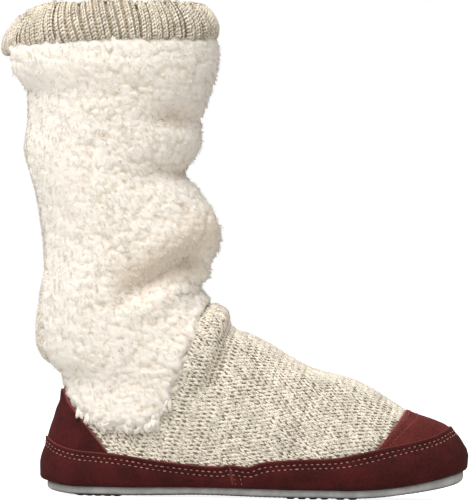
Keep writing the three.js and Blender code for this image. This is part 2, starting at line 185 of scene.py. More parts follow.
def unit(v):
    return v / np.maximum(np.linalg.norm(v, axis=-1, keepdims=True), 1e-9)


def last_normal(angle, height):
    """Outward direction of the last."""
    turn, climb = 0.01, 0.5
    around = last_point(angle + turn, height) - last_point(angle - turn, height)
    low, high = np.maximum(height - climb, 0), np.minimum(height + climb, COLLAR)
    return unit(np.cross(last_point(angle, high) - last_point(angle, low), around))


def fold_out(folds, x, z):
    """How far the folds push the knit out, at a place in the side view."""
    total = np.zeros(np.shape(x))
    for f in folds:
        run_x, run_z = f["to_x"] - f["x"], f["to_z"] - f["z"]
        t = share((x - f["x"]) * run_x + (z - f["z"]) * run_z, 0, run_x**2 + run_z**2)
        away = np.hypot(x - f["x"] - run_x * t, z - f["z"] - run_z * t)
        size = f["out"] + (f["end_out"] - f["out"]) * t
        total += size * np.exp(-((away / f["reach"]) ** f["power"]))
    return total


def boot_point(angle, height, out, folds=ALL_FOLDS):
    """Point at a distance out from the face of the upper."""
    p = last_point(angle, height)
    rise = fold_out(folds, p[..., 0], p[..., 2]) + out
    return p + last_normal(angle, np.maximum(height, 0)) * rise[..., None]


def run_along(points):
    """Distance along a line of points to each of them."""
    steps = np.linalg.norm(np.diff(points, axis=0), axis=1)
    return np.concatenate([[0], np.cumsum(steps)])


def even_angles(height, count, first, last):
    """Angles that space points evenly along a section."""
    fine = np.linspace(first, last, 1801)
    run = run_along(last_point(fine, height))
    return np.interp(np.linspace(0, run[-1], count), run, fine)


def grid_faces(rows, columns, close_rows=False, close_columns=False):
    """Four-sided faces of a grid whose columns run round the boot and whose rows climb."""
    r, c = np.meshgrid(
        np.arange(rows if close_rows else rows - 1),
        np.arange(columns if close_columns else columns - 1),
        indexing="ij",
    )
    up, on = (r + 1) % rows, (c + 1) % columns
    corners = [r * columns + c, up * columns + c, up * columns + on, r * columns + on]
    return np.stack(corners, -1).reshape(-1, 4)


def mesh_from(name, points, faces=(), layers=None):
    """Mesh from points in millimetres, with its own number or vector on each point."""
    mesh = bpy.data.meshes.new(name)
    faces = faces.tolist() if isinstance(faces, np.ndarray) else list(faces)
    mesh.from_pydata(np.asarray(points).reshape(-1, 3) * MM, [], faces)
    for layer, values in (layers or {}).items():
        values = np.asarray(values, dtype=np.float32)
        kind, key = ("FLOAT_VECTOR", "vector") if values.ndim == 2 else ("FLOAT", "value")
        mesh.attributes.new(layer, kind, "POINT").data.foreach_set(key, values.ravel())
    mesh.shade_smooth()
    mesh.update()
    return mesh


def piece_from(mesh, material=None, stands_for=None):
    """Object of a finished mesh, riding on the boot."""
    piece = bpy.data.objects.new(mesh.name, mesh)
    bpy.context.scene.collection.objects.link(piece)
    if material:
        mesh.materials.clear()
        mesh.materials.append(material)
    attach(piece, "root")
    if stands_for:
        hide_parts(stands_for)


def srgb(red, green, blue):
    """Colour of a screen value, as light."""
    bend = lambda v: v / 12.92 if v <= 0.04045 else ((v + 0.055) / 1.055) ** 2.4
    return (*(bend(v / 255) for v in (red, green, blue)), 1.0)


def node(tree, kind, **settings):
    """New node, with its settings."""
    made = tree.nodes.new(kind)
    for key, value in settings.items():
        setattr(made, key, value)
    return made


def feed(tree, socket, source):
    """Links a socket, or sets its plain value."""
    if isinstance(source, bpy.types.NodeSocket):
        tree.links.new(source, socket)
    else:
        socket.default_value = source


def calc(tree, operation, *values):
    """One step of maths."""
    made = node(tree, "ShaderNodeMath", operation=operation)
    for socket, value in zip(made.inputs, values):
        feed(tree, socket, value)
    return made.outputs[0]


def vector(tree, operation, first, second):
    """One step of vector maths. SCALE takes a number as its second value."""
    made = node(tree, "ShaderNodeVectorMath", operation=operation)
    feed(tree, made.inputs[0], first)
    feed(tree, made.inputs["Scale" if operation == "SCALE" else 1], second)
    return made.outputs[0]


def blend_colour(tree, amount, low, high):
    """Mix of two colours."""
    made = node(tree, "ShaderNodeMix", data_type="RGBA")
    feed(tree, made.inputs[0], amount)
    feed(tree, made.inputs[6], low)
    feed(tree, made.inputs[7], high)
    return made.outputs[2]


def spread(tree, value, low, high, to_low=0.0, to_high=1.0):
    """Stretches a value between two limits, with soft ends."""
    made = node(tree, "ShaderNodeMapRange", interpolation_type="SMOOTHSTEP")
    for socket, source in zip(made.inputs, (value, low, high, to_low, to_high)):
        feed(tree, socket, source)
    return made.outputs[0]


def noise(tree, where, scale, detail=3.0, roughness=0.55, output="Fac"):
    """Soft random pattern, always the same one."""
    made = node(tree, "ShaderNodeTexNoise")
    feed(tree, made.inputs["Vector"], where)
    feed(tree, made.inputs["Scale"], scale)
    made.inputs["Detail"].default_value = detail
    made.inputs["Roughness"].default_value = roughness
    return made.outputs[output]


def new_group(kind, name, inputs, outputs):
    """Node group with named sockets. Returns it with its two end nodes."""
    group = bpy.data.node_groups.new(name, kind)
    for label, socket, value in inputs:
        made = group.interface.new_socket(label, in_out="INPUT", socket_type=socket)
        if value is not None:
            made.default_value = value
    for label, socket in outputs:
        group.interface.new_socket(label, in_out="OUTPUT", socket_type=socket)
    return group, node(group, "NodeGroupInput"), node(group, "NodeGroupOutput")


def new_material(name, **values):
    """Material with plain values on its surface's sockets. Most of the boot has a dull face."""
    material = bpy.data.materials.new(name)
    material.use_nodes = True
    tree = material.node_tree
    surface = tree.nodes["Principled BSDF"]
    surface.inputs["Specular IOR Level"].default_value = 0.2
    for key, value in values.items():
        surface.inputs[key.replace("_", " ")].default_value = value
    return material, tree, surface


def object_place(tree):
    """Place on the piece, in its own coordinates."""
    return node(tree, "ShaderNodeTexCoord").outputs["Object"]


def add_bump(tree, surface, height, strength, distance):
    """Fine relief in the way the surface takes the light."""
    bump = node(tree, "ShaderNodeBump")
    bump.inputs["Strength"].default_value = strength
    bump.inputs["Distance"].default_value = distance
    feed(tree, bump.inputs["Height"], height)
    feed(tree, surface.inputs["Normal"], bump.outputs[0])


def wool_group():
    """Marled wool: pale fibre with darker flecks, and a fine fuzzy relief."""
    group, given, result = new_group(
        "ShaderNodeTree",
        "marled_wool",
        [
            ("Pale", "NodeSocketColor", (0.7, 0.65, 0.55, 1)),
            ("Fleck", "NodeSocketColor", (0.3, 0.25, 0.2, 1)),
            ("Fleck Amount", "NodeSocketFloat", 0.5),
            ("Fleck Scale", "NodeSocketFloat", 900.0),
        ],
        [("Color", "NodeSocketColor"), ("Fuzz", "NodeSocketFloat")],
    )
    where = object_place(group)
    flecks = spread(group, noise(group, where, given.outputs["Fleck Scale"], 2.0), 0.5, 0.68)
    drift = noise(group, where, 45.0, 2.0)
    amount = calc(group, "MULTIPLY", flecks, given.outputs["Fleck Amount"])
    marled = blend_colour(group, amount, given.outputs["Pale"], given.outputs["Fleck"])
    tone = spread(group, drift, 0.3, 0.7, 0.95, 1.03)
    feed(group, result.inputs["Color"], vector(group, "SCALE", marled, tone))
    feed(group, result.inputs["Fuzz"], noise(group, where, 2600.0, 2.0))
    return group


MARLED_WOOL = wool_group()


def use_group(tree, group, **values):
    """Places a shared effect in a material, and returns what it puts out."""
    made = node(tree, "ShaderNodeGroup", node_tree=group)
    for key, value in values.items():
        feed(tree, made.inputs[key.replace("_", " ")], value)
    return made.outputs


def backing_material():
    """Inside and ground of the knit: the same wool in shade, with rows of loops as relief."""
    material, tree, surface = new_material("knit_backing", Roughness=0.95)
    wool = use_group(tree, MARLED_WOOL, Pale=srgb(178, 165, 143), Fleck=srgb(126, 113, 95))
    feed(tree, surface.inputs["Base Color"], wool["Color"])
    where = object_place(tree)
    courses = node(tree, "ShaderNodeTexWave", bands_direction="Z", wave_profile="SIN")
    feed(tree, courses.inputs["Vector"], where)
    courses.inputs["Scale"].default_value = 75.0
    courses.inputs["Distortion"].default_value = 1.5
    courses.inputs["Detail Scale"].default_value = 300.0
    relief = calc(tree, "ADD", courses.outputs["Fac"], calc(tree, "MULTIPLY", wool["Fuzz"], 0.6))
    add_bump(tree, surface, relief, 0.7, 0.001)
    return material


def upper_wall():
    """Outer face up to the collar and inner face down again, as one closed wall."""
    columns = 120
    foot, shaft = np.linspace(0, 125, 64), np.linspace(127.5, COLLAR, 42)
    heights = np.concatenate([foot, shaft])
    rings = [even_angles(h, columns + 1, 0, 2 * math.pi)[:-1] for h in heights]
    angle, height = np.stack(rings), heights[:, None]
    outer = boot_point(angle, height, -KNIT_SINK)
    inner = boot_point(angle, height, -WALL)
    loop = np.concatenate([outer, inner[::-1]])
    faces = grid_faces(len(loop), columns, close_rows=True, close_columns=True)
    return mesh_from("upper_wall", loop, faces)


piece_from(upper_wall(), backing_material(), "upper")

# Knit stitches. The wool's loops show on the vamp and in the bare strip at the back, as rows of
# small Vs. On the vamp the rows run along the foot, level with the ridge of the instep.
WALE = 2.7
COURSE = 4.2
YARN = 0.84
VAMP_SLOPE = math.radians(20)
VAMP_TOP = 126
VAMP_RUN = (-45, 196)
VAMP_TURN = 2.8
GUIDE_TURN = 0.8
STITCH_OUT = 0.35 - KNIT_SINK
STRIP_SINK = 0.5
STRIP_HALF = 18

# Outlines of the overlays in the side view, shared by what lies inside and outside them.
SIDE_POINT = [("x", float), ("z", float)]
BAND_EDGE = np.array([
    (-45, 42.0),
    (-32, 37.4),
    (-24.5, 32.1),
    (-12, 28.7),
    (1, 27.7),
    (13.5, 26.7),
    (39, 23.1),
    (77, 20.2),
    (83, 21.4),
    (94, 20.3),
    (104, 23.2),
    (124, 25.1),
    (146, 26.2),
    (165, 29.5),
    (180, 32.9),
    (209, 39.4),
    (222, 45.6),
    (245, 56.0),
], dtype=SIDE_POINT)
CAP_TOP, CAP_FOOT = (195.2, 58.0), (176.6, 33.4)
COUNTER_EDGE = np.array([
    (-45.0, 67.0),
    (-21.5, 67.0),
    (-18.5, 59.5),
    (-13.5, 53.0),
    (-6.9, 44.4),
    (5.8, 28.2),
], dtype=SIDE_POINT)
FLEECE_EDGE = np.array([
    (95, 127.5),
    (78, 125.5),
    (70, 123.0),
    (65, 112.0),
    (61, 99.0),
    (55, 84.0),
    (45.5, 59.4),
    (36, 44.0),
    (24, 41.5),
    (8, 42.5),
    (-4, 45.5),
    (-13.0, 54.0),
    (-18.0, 60.5),
    (-21.0, 68.0),
    (-90, 69.0),
], dtype=SIDE_POINT)


def above_band(x, z):
    return z - along(BAND_EDGE, "x", "z", x)


def ahead_of_cap_edge(x, z):
    """Distance in front of the toe cap's back edge."""
    run_x, run_z = CAP_TOP[0] - CAP_FOOT[0], CAP_TOP[1] - CAP_FOOT[1]
    return ((x - CAP_FOOT[0]) * run_z - (z - CAP_FOOT[1]) * run_x) / math.hypot(run_x, run_z)


def distance_to_line(points, x, z):
    """Distance in the side view to a line of points, above 0 on its left hand."""
    nearest, side = np.full(np.shape(x), 1e9), np.ones(np.shape(x))
    for a, b in zip(points[:-1], points[1:]):
        run_x, run_z = b["x"] - a["x"], b["z"] - a["z"]
        t = np.clip(((x - a["x"]) * run_x + (z - a["z"]) * run_z) / (run_x**2 + run_z**2), 0, 1)
        away = np.hypot(x - a["x"] - run_x * t, z - a["z"] - run_z * t)
        left = run_x * (z - a["z"]) - run_z * (x - a["x"])
        closer = away < nearest
        side = np.where(closer, np.sign(left), side)
        nearest = np.where(closer, away, nearest)
    return nearest * side


def inside_fleece(x, z):
    return -distance_to_line(FLEECE_EDGE, x, z)


def inside_counter(x, z):
    return -distance_to_line(COUNTER_EDGE, x, z)


def boot_facing(angle, height, out):
    """Outward normal of the upper's face, folds and all."""
    turn, climb = 0.01, 0.4
    around = boot_point(angle + turn, height, out) - boot_point(angle - turn, height, out)
    upward = boot_point(angle, height + climb, out) - boot_point(angle, height - climb, out)
    return unit(np.cross(upward, around))


def even_courses(run, heights, angle, first, last):
    """Places of the courses along the foot, closer where a fold takes up more of the knit."""
    flat = np.linalg.norm(np.diff(last_point(angle, heights), axis=0), axis=1)
    folded = np.linalg.norm(np.diff(boot_point(angle, heights, 0), axis=0), axis=1)
    fine = np.linspace(first, last, 2000)
    taken_up = np.interp(-fine, -(run[1:] + run[:-1]) / 2, folded / flat, 1, 1)
    length = np.cumsum(taken_up) * (fine[1] - fine[0])
    return np.interp(np.arange(0, length[-1], COURSE), length, fine)


def vamp_spots(side):
    """Places of the stitches on one side of the foot, in courses across the ridge of the instep."""
    toeward = np.array([math.cos(VAMP_SLOPE), 0, -math.sin(VAMP_SLOPE)])
    angles = side * even_angles(20, 360, 0, VAMP_TURN)
    heights = np.linspace(0, VAMP_TOP - 4, 420)
    run = last_point(angles[None, :], heights[:, None]) @ toeward
    back = np.maximum.accumulate(-run, axis=0)
    guide = np.argmin(np.abs(angles - side * GUIDE_TURN))
    angle_at, height_at = [], []
    for course in even_courses(run[:, guide], heights, angles[guide], *VAMP_RUN):
        crossed = (back[0] < -course) & (back[-1] > -course)
        if crossed.sum() < 2:
            continue
        turn = angles[crossed]
        height = np.array([np.interp(-course, column, heights) for column in back[:, crossed].T])
        length = run_along(boot_point(turn, height, 0))
        at = np.arange(WALE / 2, length[-1], WALE)
        angle_at.append(np.interp(at, length, turn))
        height_at.append(np.interp(at, length, height))
    angle, height = np.concatenate(angle_at), np.concatenate(height_at)
    place, facing = boot_point(angle, height, STITCH_OUT), boot_facing(angle, height, STITCH_OUT)
    x, z = place[:, 0], place[:, 2]
    shows = (above_band(x, z) > -1.0) & (ahead_of_cap_edge(x, z) < -0.6)
    shows &= (inside_fleece(x, z) < 3) & (inside_counter(x, z) < -1.0) & (z < VAMP_TOP)
    place, facing = place[shows], facing[shows]
    return place, facing, unit(toeward - (facing @ toeward)[:, None] * facing)


def strip_spots():
    """Places of the stitches in the bare strip down the back."""
    fine = np.linspace(50, COLLAR - 6, 500)
    length = run_along(boot_point(np.full_like(fine, math.pi), fine, 0))
    courses = np.interp(np.arange(0, length[-1], COURSE), length, fine)
    height, across = np.meshgrid(courses, np.arange(-STRIP_HALF, STRIP_HALF + 0.1, WALE))
    height, across = height.ravel(), across.ravel()
    angle = math.pi + np.arcsin(across / along(GIRTH, "height", "half", height))
    out = STITCH_OUT - STRIP_SINK
    place, facing = boot_point(angle, height, out), boot_facing(angle, height, out)
    shows = inside_counter(place[:, 0], place[:, 2]) < -0.8
    downward = place - boot_point(angle, height + 1, out)
    return place[shows], facing[shows], unit(downward[shows])


def spindle(path, wide, thick, sides):
    """Closed strand along a path, drawn to a point at both ends. Returns its points and faces."""
    turn = np.arange(sides) / sides * 2 * math.pi
    across, depth = np.outer(wide, np.cos(turn)), np.outer(thick, np.sin(turn))
    ring = np.stack([across, 0 * across, depth], -1)
    points = np.concatenate([path[:1], (path[1:-1, None] + ring).reshape(-1, 3), path[-1:]])
    last = 1 + (len(wide) - 1) * sides
    faces = []
    for k in range(sides):
        on = (k + 1) % sides
        faces.append((0, 1 + k, 1 + on))
        for low in range(1, last, sides):
            faces.append((low + on, low + k, low + sides + k, low + sides + on))
        faces.append((len(points) - 1, last + on, last + k))
    return points, faces


def stitch_mesh(name, wale, course, yarn):
    """One knit stitch: two legs of yarn that lean apart, and dive under at both ends."""
    t = np.array([0, 0.2, 0.5, 0.8, 1])
    swell = np.array([0.84, 1.0, 0.84])
    points, faces = np.zeros((0, 3)), []
    for hand in (-1, 1):
        y = course * 1.4 * (t - 0.5)
        lean = math.tan(math.radians(4 - 11 * hand))
        x = hand * wale * 0.25 + lean * y
        z = yarn * (np.sin(math.pi * t) - 0.6)
        path = np.stack([x, y + hand * course * 0.16, z], -1)
        leg, sides = spindle(path, yarn * swell, yarn * swell * 0.9, 4)
        faces += [tuple(len(points) + i for i in face) for face in sides]
        points = np.concatenate([points, leg])
    return mesh_from(name, points, faces)


def stored(tree, name, kind="FLOAT"):
    """Value that each point of the geometry carries under a name."""
    kept = node(tree, "GeometryNodeInputNamedAttribute", data_type=kind)
    kept.inputs["Name"].default_value = name
    return kept.outputs["Attribute"]


def end_tree(tree, geometry, given, result):
    """Last steps of a tree: copies become real geometry, and take their material."""
    real = node(tree, "GeometryNodeRealizeInstances")
    feed(tree, real.inputs[0], geometry)
    finish = node(tree, "GeometryNodeSetMaterial")
    feed(tree, finish.inputs["Geometry"], real.outputs[0])
    feed(tree, finish.inputs["Material"], given.outputs["Material"])
    feed(tree, result.inputs[0], finish.outputs[0])


def planting_tree():
    """Sets one small shape on every point, turned to the point's own two directions."""
    tree, given, result = new_group(
        "GeometryNodeTree",
        "plant_on_points",
        [
            ("Geometry", "NodeSocketGeometry", None),
            ("Shape", "NodeSocketObject", None),
            ("Size", "NodeSocketFloat", 1.0),
            ("Material", "NodeSocketMaterial", None),
        ],
        [("Geometry", "NodeSocketGeometry")],
    )
    points = node(tree, "GeometryNodeMeshToPoints")
    feed(tree, points.inputs["Mesh"], given.outputs["Geometry"])
    turned = node(tree, "FunctionNodeAxesToRotation", primary_axis="Z", secondary_axis="Y")
    feed(tree, turned.inputs[0], stored(tree, "facing", "FLOAT_VECTOR"))
    feed(tree, turned.inputs[1], stored(tree, "on", "FLOAT_VECTOR"))
    shape = node(tree, "GeometryNodeObjectInfo")
    feed(tree, shape.inputs["Object"], given.outputs["Shape"])
    copies = node(tree, "GeometryNodeInstanceOnPoints")
    feed(tree, copies.inputs["Points"], points.outputs[0])
    feed(tree, copies.inputs["Instance"], shape.outputs["Geometry"])
    feed(tree, copies.inputs["Rotation"], turned.outputs[0])
    size = calc(tree, "MULTIPLY", given.outputs["Size"], stored(tree, "size"))
    feed(tree, copies.inputs["Scale"], size)
    end_tree(tree, copies.outputs[0], given, result)
    return tree


PLANTING = planting_tree()


def grown(name, mesh, tree, **values):
    """Runs a node tree on a mesh, and returns its result as a plain mesh."""
    holder = bpy.data.objects.new(name + "_ground", mesh)
    bpy.context.scene.collection.objects.link(holder)
    modifier = holder.modifiers.new("grow", "NODES")
    modifier.node_group = tree
    for item in tree.interface.items_tree:
        if item.in_out == "INPUT" and item.name in values:
            modifier[item.identifier] = values[item.name]
    graph = bpy.context.evaluated_depsgraph_get()
    result = bpy.data.meshes.new_from_object(holder.evaluated_get(graph), depsgraph=graph)
    holder.modifiers.remove(modifier)
    bpy.data.objects.remove(holder)
    result.name = name
    return result


def planted(name, spots, shape, material, seed, jitter=0.06, wobble=0.1, drift=0.0):
    """Copies of a small shape on a set of places, each a little different."""
    place, facing, on = spots
    draw = np.random.default_rng(seed)
    on = unit(on + draw.normal(0, wobble, on.shape))
    place = place + on * draw.normal(0, drift, (len(place), 1))
    layers = {
        "facing": facing,
        "on": on,
        "size": 1 + draw.normal(0, jitter, len(place)),
        "shade": draw.random(len(place)),
    }
    pattern = bpy.data.objects.new(shape.name, shape)
    ground = mesh_from(name + "_places", place, (), layers)
    mesh = grown(name, ground, PLANTING, Shape=pattern, Material=material, Size=1.0)
    bpy.data.objects.remove(pattern)
    return mesh


def painted(tree, name):
    """Number that the mesh carries under a name."""
    return node(tree, "ShaderNodeAttribute", attribute_name=name).outputs["Fac"]


def yarn_material(name, pale, fleck, amount):
    """Spun yarn: marled colour, a tone of its own for each stitch, and a fuzzy face."""
    material, tree, surface = new_material(name, Roughness=0.9, Sheen_Weight=0.15)
    wool = use_group(tree, MARLED_WOOL, Pale=pale, Fleck=fleck, Fleck_Amount=amount)
    tone = spread(tree, painted(tree, "shade"), 0.0, 1.0, 0.84, 1.08)
    feed(tree, surface.inputs["Base Color"], vector(tree, "SCALE", wool["Color"], tone))
    add_bump(tree, surface, wool["Fuzz"], 0.5, 0.0006)
    return material


oatmeal_yarn = yarn_material("oatmeal_yarn", srgb(244, 236, 221), srgb(160, 145, 122), 0.7)
stitch = stitch_mesh("stitch", WALE, COURSE, YARN)
for side, name, seed in ((1, "vamp_inner_stitches", 3), (-1, "vamp_outer_stitches", 9)):
    loops = planted(name, vamp_spots(side), stitch, oatmeal_yarn, seed, 0.08, 0.13, 0.35)
    piece_from(loops)
piece_from(planted("back_strip_stitches", strip_spots(), stitch, oatmeal_yarn, 4))

# Fleece panel. Sherpa pile on a knitted ground, sewn round the front and both sides of the
# shaft. The curls clump in soft nubs, and the lower edge hangs loose over the foot.
PILE_RISE = 5.7
PILE_SINK = 1.2
PILE_FADES_OVER = 7.0
PILE_SPACING = 0.7
PANEL_FOOT = 26
HALF_GIRTH = 165
BACK_STRIP = 32
LAP = 6.0
LAP_SINK = 1.5
HEM_TOP = 62
SHAFT_MIDDLE = 3
THROAT_FLARE = {"z": 123, "over": 7, "out": 3.5}
CUFF_FLARE = {"z": 277, "over": 13, "back": 3.6, "front": 2.2}
SLOUCH_FOLDS = np.array([
    (57, 150, 19, 129, -2.5, -1.5, 9, 2),
    (48, 137, 22, 117, 2.0, 1.0, 7, 2),
    (60, 168, 28, 152, 1.5, 0.5, 11, 2),
    (70, 241, 44, 240, -2.0, -1.0, 8, 2),
    (66, 226, 30, 224, 1.6, 0.6, 9, 2),
    (-7, 222, -6, 201, -1.6, -0.8, 2.4, 2),
], dtype=FOLD_LINE)
FLEECE_FOLDS = np.concatenate([SHAFT_FOLDS, SLOUCH_FOLDS])
# Line under the bulge of the shaft, along which shade is painted on the pile.
UNDER_BULGE = np.array([(74, 176), (50, 156), (20, 136)], dtype=SIDE_POINT)
CUFF_LINE = [("x", float), ("bottom", float), ("top", float)]
CUFF_EDGE = np.array([
    (-70, 273.5, 292.0),
    (-52, 281.5, 301.5),
    (-43, 283.1, 307.2),
    (-30, 284.5, 309.5),
    (10, 287.0, 311.5),
    (50, 288.0, 311.5),
    (80, 288.5, 307.0),
], dtype=CUFF_LINE)


def pile_tree():
    """Raises curls on a sheet of fleece: clumps, smaller curls on them, and a crimp."""
    tree, given, result = new_group(
        "GeometryNodeTree",
        "curly_pile",
        [
            ("Geometry", "NodeSocketGeometry", None),
            ("Clump", "NodeSocketFloat", 0.011),
            ("Clump Rise", "NodeSocketFloat", 0.0008),
            ("Curl", "NodeSocketFloat", 0.0046),
            ("Curl Rise", "NodeSocketFloat", 0.0009),
            ("Crimp Rise", "NodeSocketFloat", 0.0003),
            ("Warp", "NodeSocketFloat", 0.0007),
            ("Material", "NodeSocketMaterial", None),
        ],
        [("Geometry", "NodeSocketGeometry")],
    )
    place = node(tree, "GeometryNodeInputPosition").outputs[0]
    stray = vector(tree, "SUBTRACT", noise(tree, place, 260.0, 2.0, 0.5, "Color"), (0.5, 0.5, 0.5))
    moved = vector(tree, "SCALE", stray, calc(tree, "MULTIPLY", given.outputs["Warp"], 4.0))
    flat = vector(tree, "MULTIPLY", vector(tree, "ADD", place, moved), (1.0, 1.0, 1.4))

    def domes(size):
        cells = node(tree, "ShaderNodeTexVoronoi", feature="F1")
        feed(tree, cells.inputs["Vector"], flat)
        feed(tree, cells.inputs["Scale"], calc(tree, "DIVIDE", 1.0, size))
        off = calc(tree, "MULTIPLY", cells.outputs["Distance"], 1.2)
        return calc(tree, "SUBTRACT", 1.0, calc(tree, "POWER", off, 3.0))

    curly = stored(tree, "curly")
    clumps = domes(given.outputs["Clump"])
    curls = calc(tree, "MULTIPLY", domes(given.outputs["Curl"]), curly)
    crimp = noise(tree, place, 900.0, 3.0, 0.65)
    rise = calc(tree, "MULTIPLY", clumps, given.outputs["Clump Rise"])
    rise = calc(tree, "MULTIPLY_ADD", curls, given.outputs["Curl Rise"], rise)
    rise = calc(tree, "MULTIPLY_ADD", crimp, given.outputs["Crimp Rise"], rise)
    rise = calc(tree, "MULTIPLY", rise, stored(tree, "pile"))
    # The curl value sets the painted shade in the crevices: low between the curls, high on them and
    # where the pile lies flat.
    deep = calc(tree, "MULTIPLY_ADD", clumps, 0.25, calc(tree, "MULTIPLY", curls, 0.75))
    deep = calc(tree, "MULTIPLY_ADD", calc(tree, "SUBTRACT", 1.0, curly), 0.75, deep)
    kept = node(tree, "GeometryNodeStoreNamedAttribute", data_type="FLOAT", domain="POINT")
    feed(tree, kept.inputs["Geometry"], given.outputs["Geometry"])
    kept.inputs["Name"].default_value = "curl"
    feed(tree, kept.inputs["Value"], deep)
    outward = node(tree, "GeometryNodeInputNormal").outputs[0]
    raised = node(tree, "GeometryNodeSetPosition")
    feed(tree, raised.inputs["Geometry"], kept.outputs[0])
    feed(tree, raised.inputs["Offset"], vector(tree, "SCALE", outward, rise))
    end_tree(tree, raised.outputs[0], given, result)
    return tree


def fleece_material(name, glow):
    """Cream wool pile, with painted shade in the crevices between its curls and in its folds. Light
    passes a little way into the thick of it.
    """
    material, tree, surface = new_material(
        name,
        Roughness=1.0,
        Specular_IOR_Level=0.05,
        Sheen_Weight=0.2,
        Sheen_Roughness=0.6,
        Subsurface_Weight=glow,
        Subsurface_Scale=0.003,
        Subsurface_Radius=(1.0, 0.94, 0.86),
    )
    where = object_place(tree)
    warm = noise(tree, where, 60.0, 2.0)
    cream = blend_colour(tree, warm, srgb(246, 240, 231), srgb(243, 236, 226))
    # Painted shade in the crevices between the curls: darker where the curl value is low.
    tip = spread(tree, painted(tree, "curl"), 0.3, 0.75)
    colour = blend_colour(tree, tip, srgb(239, 229, 214), cream)
    # Painted shade: the pile is tinted darker in the folds and under the bulge of the shaft, as the
    # hollow layer says.
    colour = blend_colour(tree, painted(tree, "hollow"), colour, srgb(224, 210, 192))
    feed(tree, surface.inputs["Base Color"], colour)
    fibre = calc(tree, "ADD", noise(tree, where, 1500.0, 3.0), noise(tree, where, 3200.0, 2.0))
    add_bump(tree, surface, fibre, 0.35, 0.0006)
    return material


def ragged_edge(x, z):
    """How far the edge of the pile wanders in the side view."""
    along_foot = 1.1 * np.sin(x * 0.9 + 2 * np.sin(z * 0.31))
    up_shaft = 0.9 * np.sin(z * 0.83 + 1.7 * np.sin(x * 0.43))
    return along_foot + up_shaft


def flare(x, z):
    """How far the panel stands off, fore and aft: over the throat, and where the cuff grips it."""
    ahead = x - SHAFT_MIDDLE
    throat = THROAT_FLARE["out"] * bell((z - THROAT_FLARE["z"]) / THROAT_FLARE["over"])
    cuff = np.where(ahead < 0, CUFF_FLARE["back"], CUFF_FLARE["front"])
    cuff = cuff * bell((z - CUFF_FLARE["z"]) / CUFF_FLARE["over"])
    throat = throat * smooth(share(ahead, 35, 55))
    cuff = cuff * smooth(share(np.abs(ahead), 32, 54))
    return np.sign(ahead) * (throat + cuff)


def painted_fold_shade(x, y, z):
    """How much shade is painted on the pile: in the folds, and under the bulge of the shaft on its
    inner side.
    """
    fold = share(-fold_out(FLEECE_FOLDS, x, z), 0.5, 6)
    outer_side = smooth(share(y, -5, 25))
    under = bell(distance_to_line(UNDER_BULGE, x, z) / 11) * (1 - 0.8 * outer_side)
    return np.maximum(fold, under)


def curliness(x, y):
    """Height of the curls, which are rubbed flatter towards the back of both sides."""
    return 1 - 0.6 * (1 - smooth(share(x, -32, 8))) * smooth(share(np.abs(y), 18, 30))


def fleece_sheet(side):
    """One half of the panel, from under the other half at the front to the strip at the back."""
    heights = np.arange(PANEL_FOOT, COLLAR - 1, PILE_SPACING)
    columns = int(round(HALF_GIRTH / PILE_SPACING))
    rings = []
    for h in heights:
        half = along(GIRTH, "height", "half", h)
        strip = BACK_STRIP * (0.45 + 0.55 * smooth(share(h, 54, 92)))
        last = math.pi - math.asin(strip / 2 / half)
        rings.append(even_angles(h, columns, -LAP / half, last))
    angle, height = side * np.stack(rings), heights[:, None]
    knit = boot_point(angle, height, 0, SHAFT_FOLDS)
    x, z = knit[..., 0], knit[..., 2]
    below_cuff = along(CUFF_EDGE, "x", "bottom", x) - z
    from_strip = np.linspace(HALF_GIRTH, 0, columns)[None, :]
    edge = np.minimum(inside_fleece(x, z), np.minimum(below_cuff + 4, from_strip - 2))
    edge = edge + ragged_edge(x, z)
    pile = np.sqrt(smooth(share(edge, -0.5, PILE_FADES_OVER)))
    lapped = share(-side * angle * along(GIRTH, "height", "half", height), 0, LAP)
    out = PILE_RISE * pile - PILE_SINK - LAP_SINK * lapped
    face = boot_point(angle, height, out, FLEECE_FOLDS)
    face[..., 0] += flare(x, z) * pile
    faces = grid_faces(len(heights), columns)
    if side < 0:
        faces = faces[:, ::-1]
    faces = faces[(edge.ravel()[faces] > -0.6).any(1)]
    used, faces = np.unique(faces, return_inverse=True)
    face, pile = face.reshape(-1, 3)[used], pile.ravel()[used]
    x, y, z = face.T
    # The hollow layer carries the shade painted in the folds and under the bulge.
    layers = {"pile": pile, "hollow": painted_fold_shade(x, y, z), "curly": curliness(x, y)}
    return mesh_from("fleece_ground", face, faces.reshape(-1, 4), layers)


def lock_mesh(name, length, wide, rise, sides):
    """One lock of the pile: a short curl, thick in the middle, whose tip stands off the ground."""
    t = np.array([0, 0.3, 0.75, 1])
    path = np.stack([0.1 * length * np.sin(math.pi * t), length * (t - 0.2), rise * t - 0.4], -1)
    points, faces = spindle(path, wide * np.array([1.0, 0.8]), wide * np.array([0.6, 0.5]), sides)
    return mesh_from(name, points, faces, {"curl": np.full(len(points), 0.8)})


def pile_places(mesh):
    """Places on the grown pile, the way each faces, and how thick the pile is there."""
    place, facing = np.zeros((2, len(mesh.vertices), 3), np.float32)
    mesh.vertices.foreach_get("co", place.ravel())
    mesh.vertex_normals.foreach_get("vector", facing.ravel())
    pile = np.zeros(len(place), np.float32)
    mesh.attributes["pile"].data.foreach_get("value", pile)
    return place / MM, unit(facing), pile


def lock_spots(mesh, count, seed, hem):
    """Places of locks: stray fibre all over the pile, or a row of hanging locks along the hem."""
    place, facing, pile = pile_places(mesh)
    grows = (pile > 0.45) & (pile < 0.8) & (place[:, 2] < HEM_TOP) if hem else pile > 0.3
    draw = np.random.default_rng(seed)
    picked = draw.choice(np.flatnonzero(grows), count, replace=False)
    place, facing = place[picked], facing[picked]
    on = np.array([0.2, 0, -1]) + draw.normal(0, 0.25 if hem else 0.6, place.shape)
    return place - facing * 0.3, facing, unit(on)


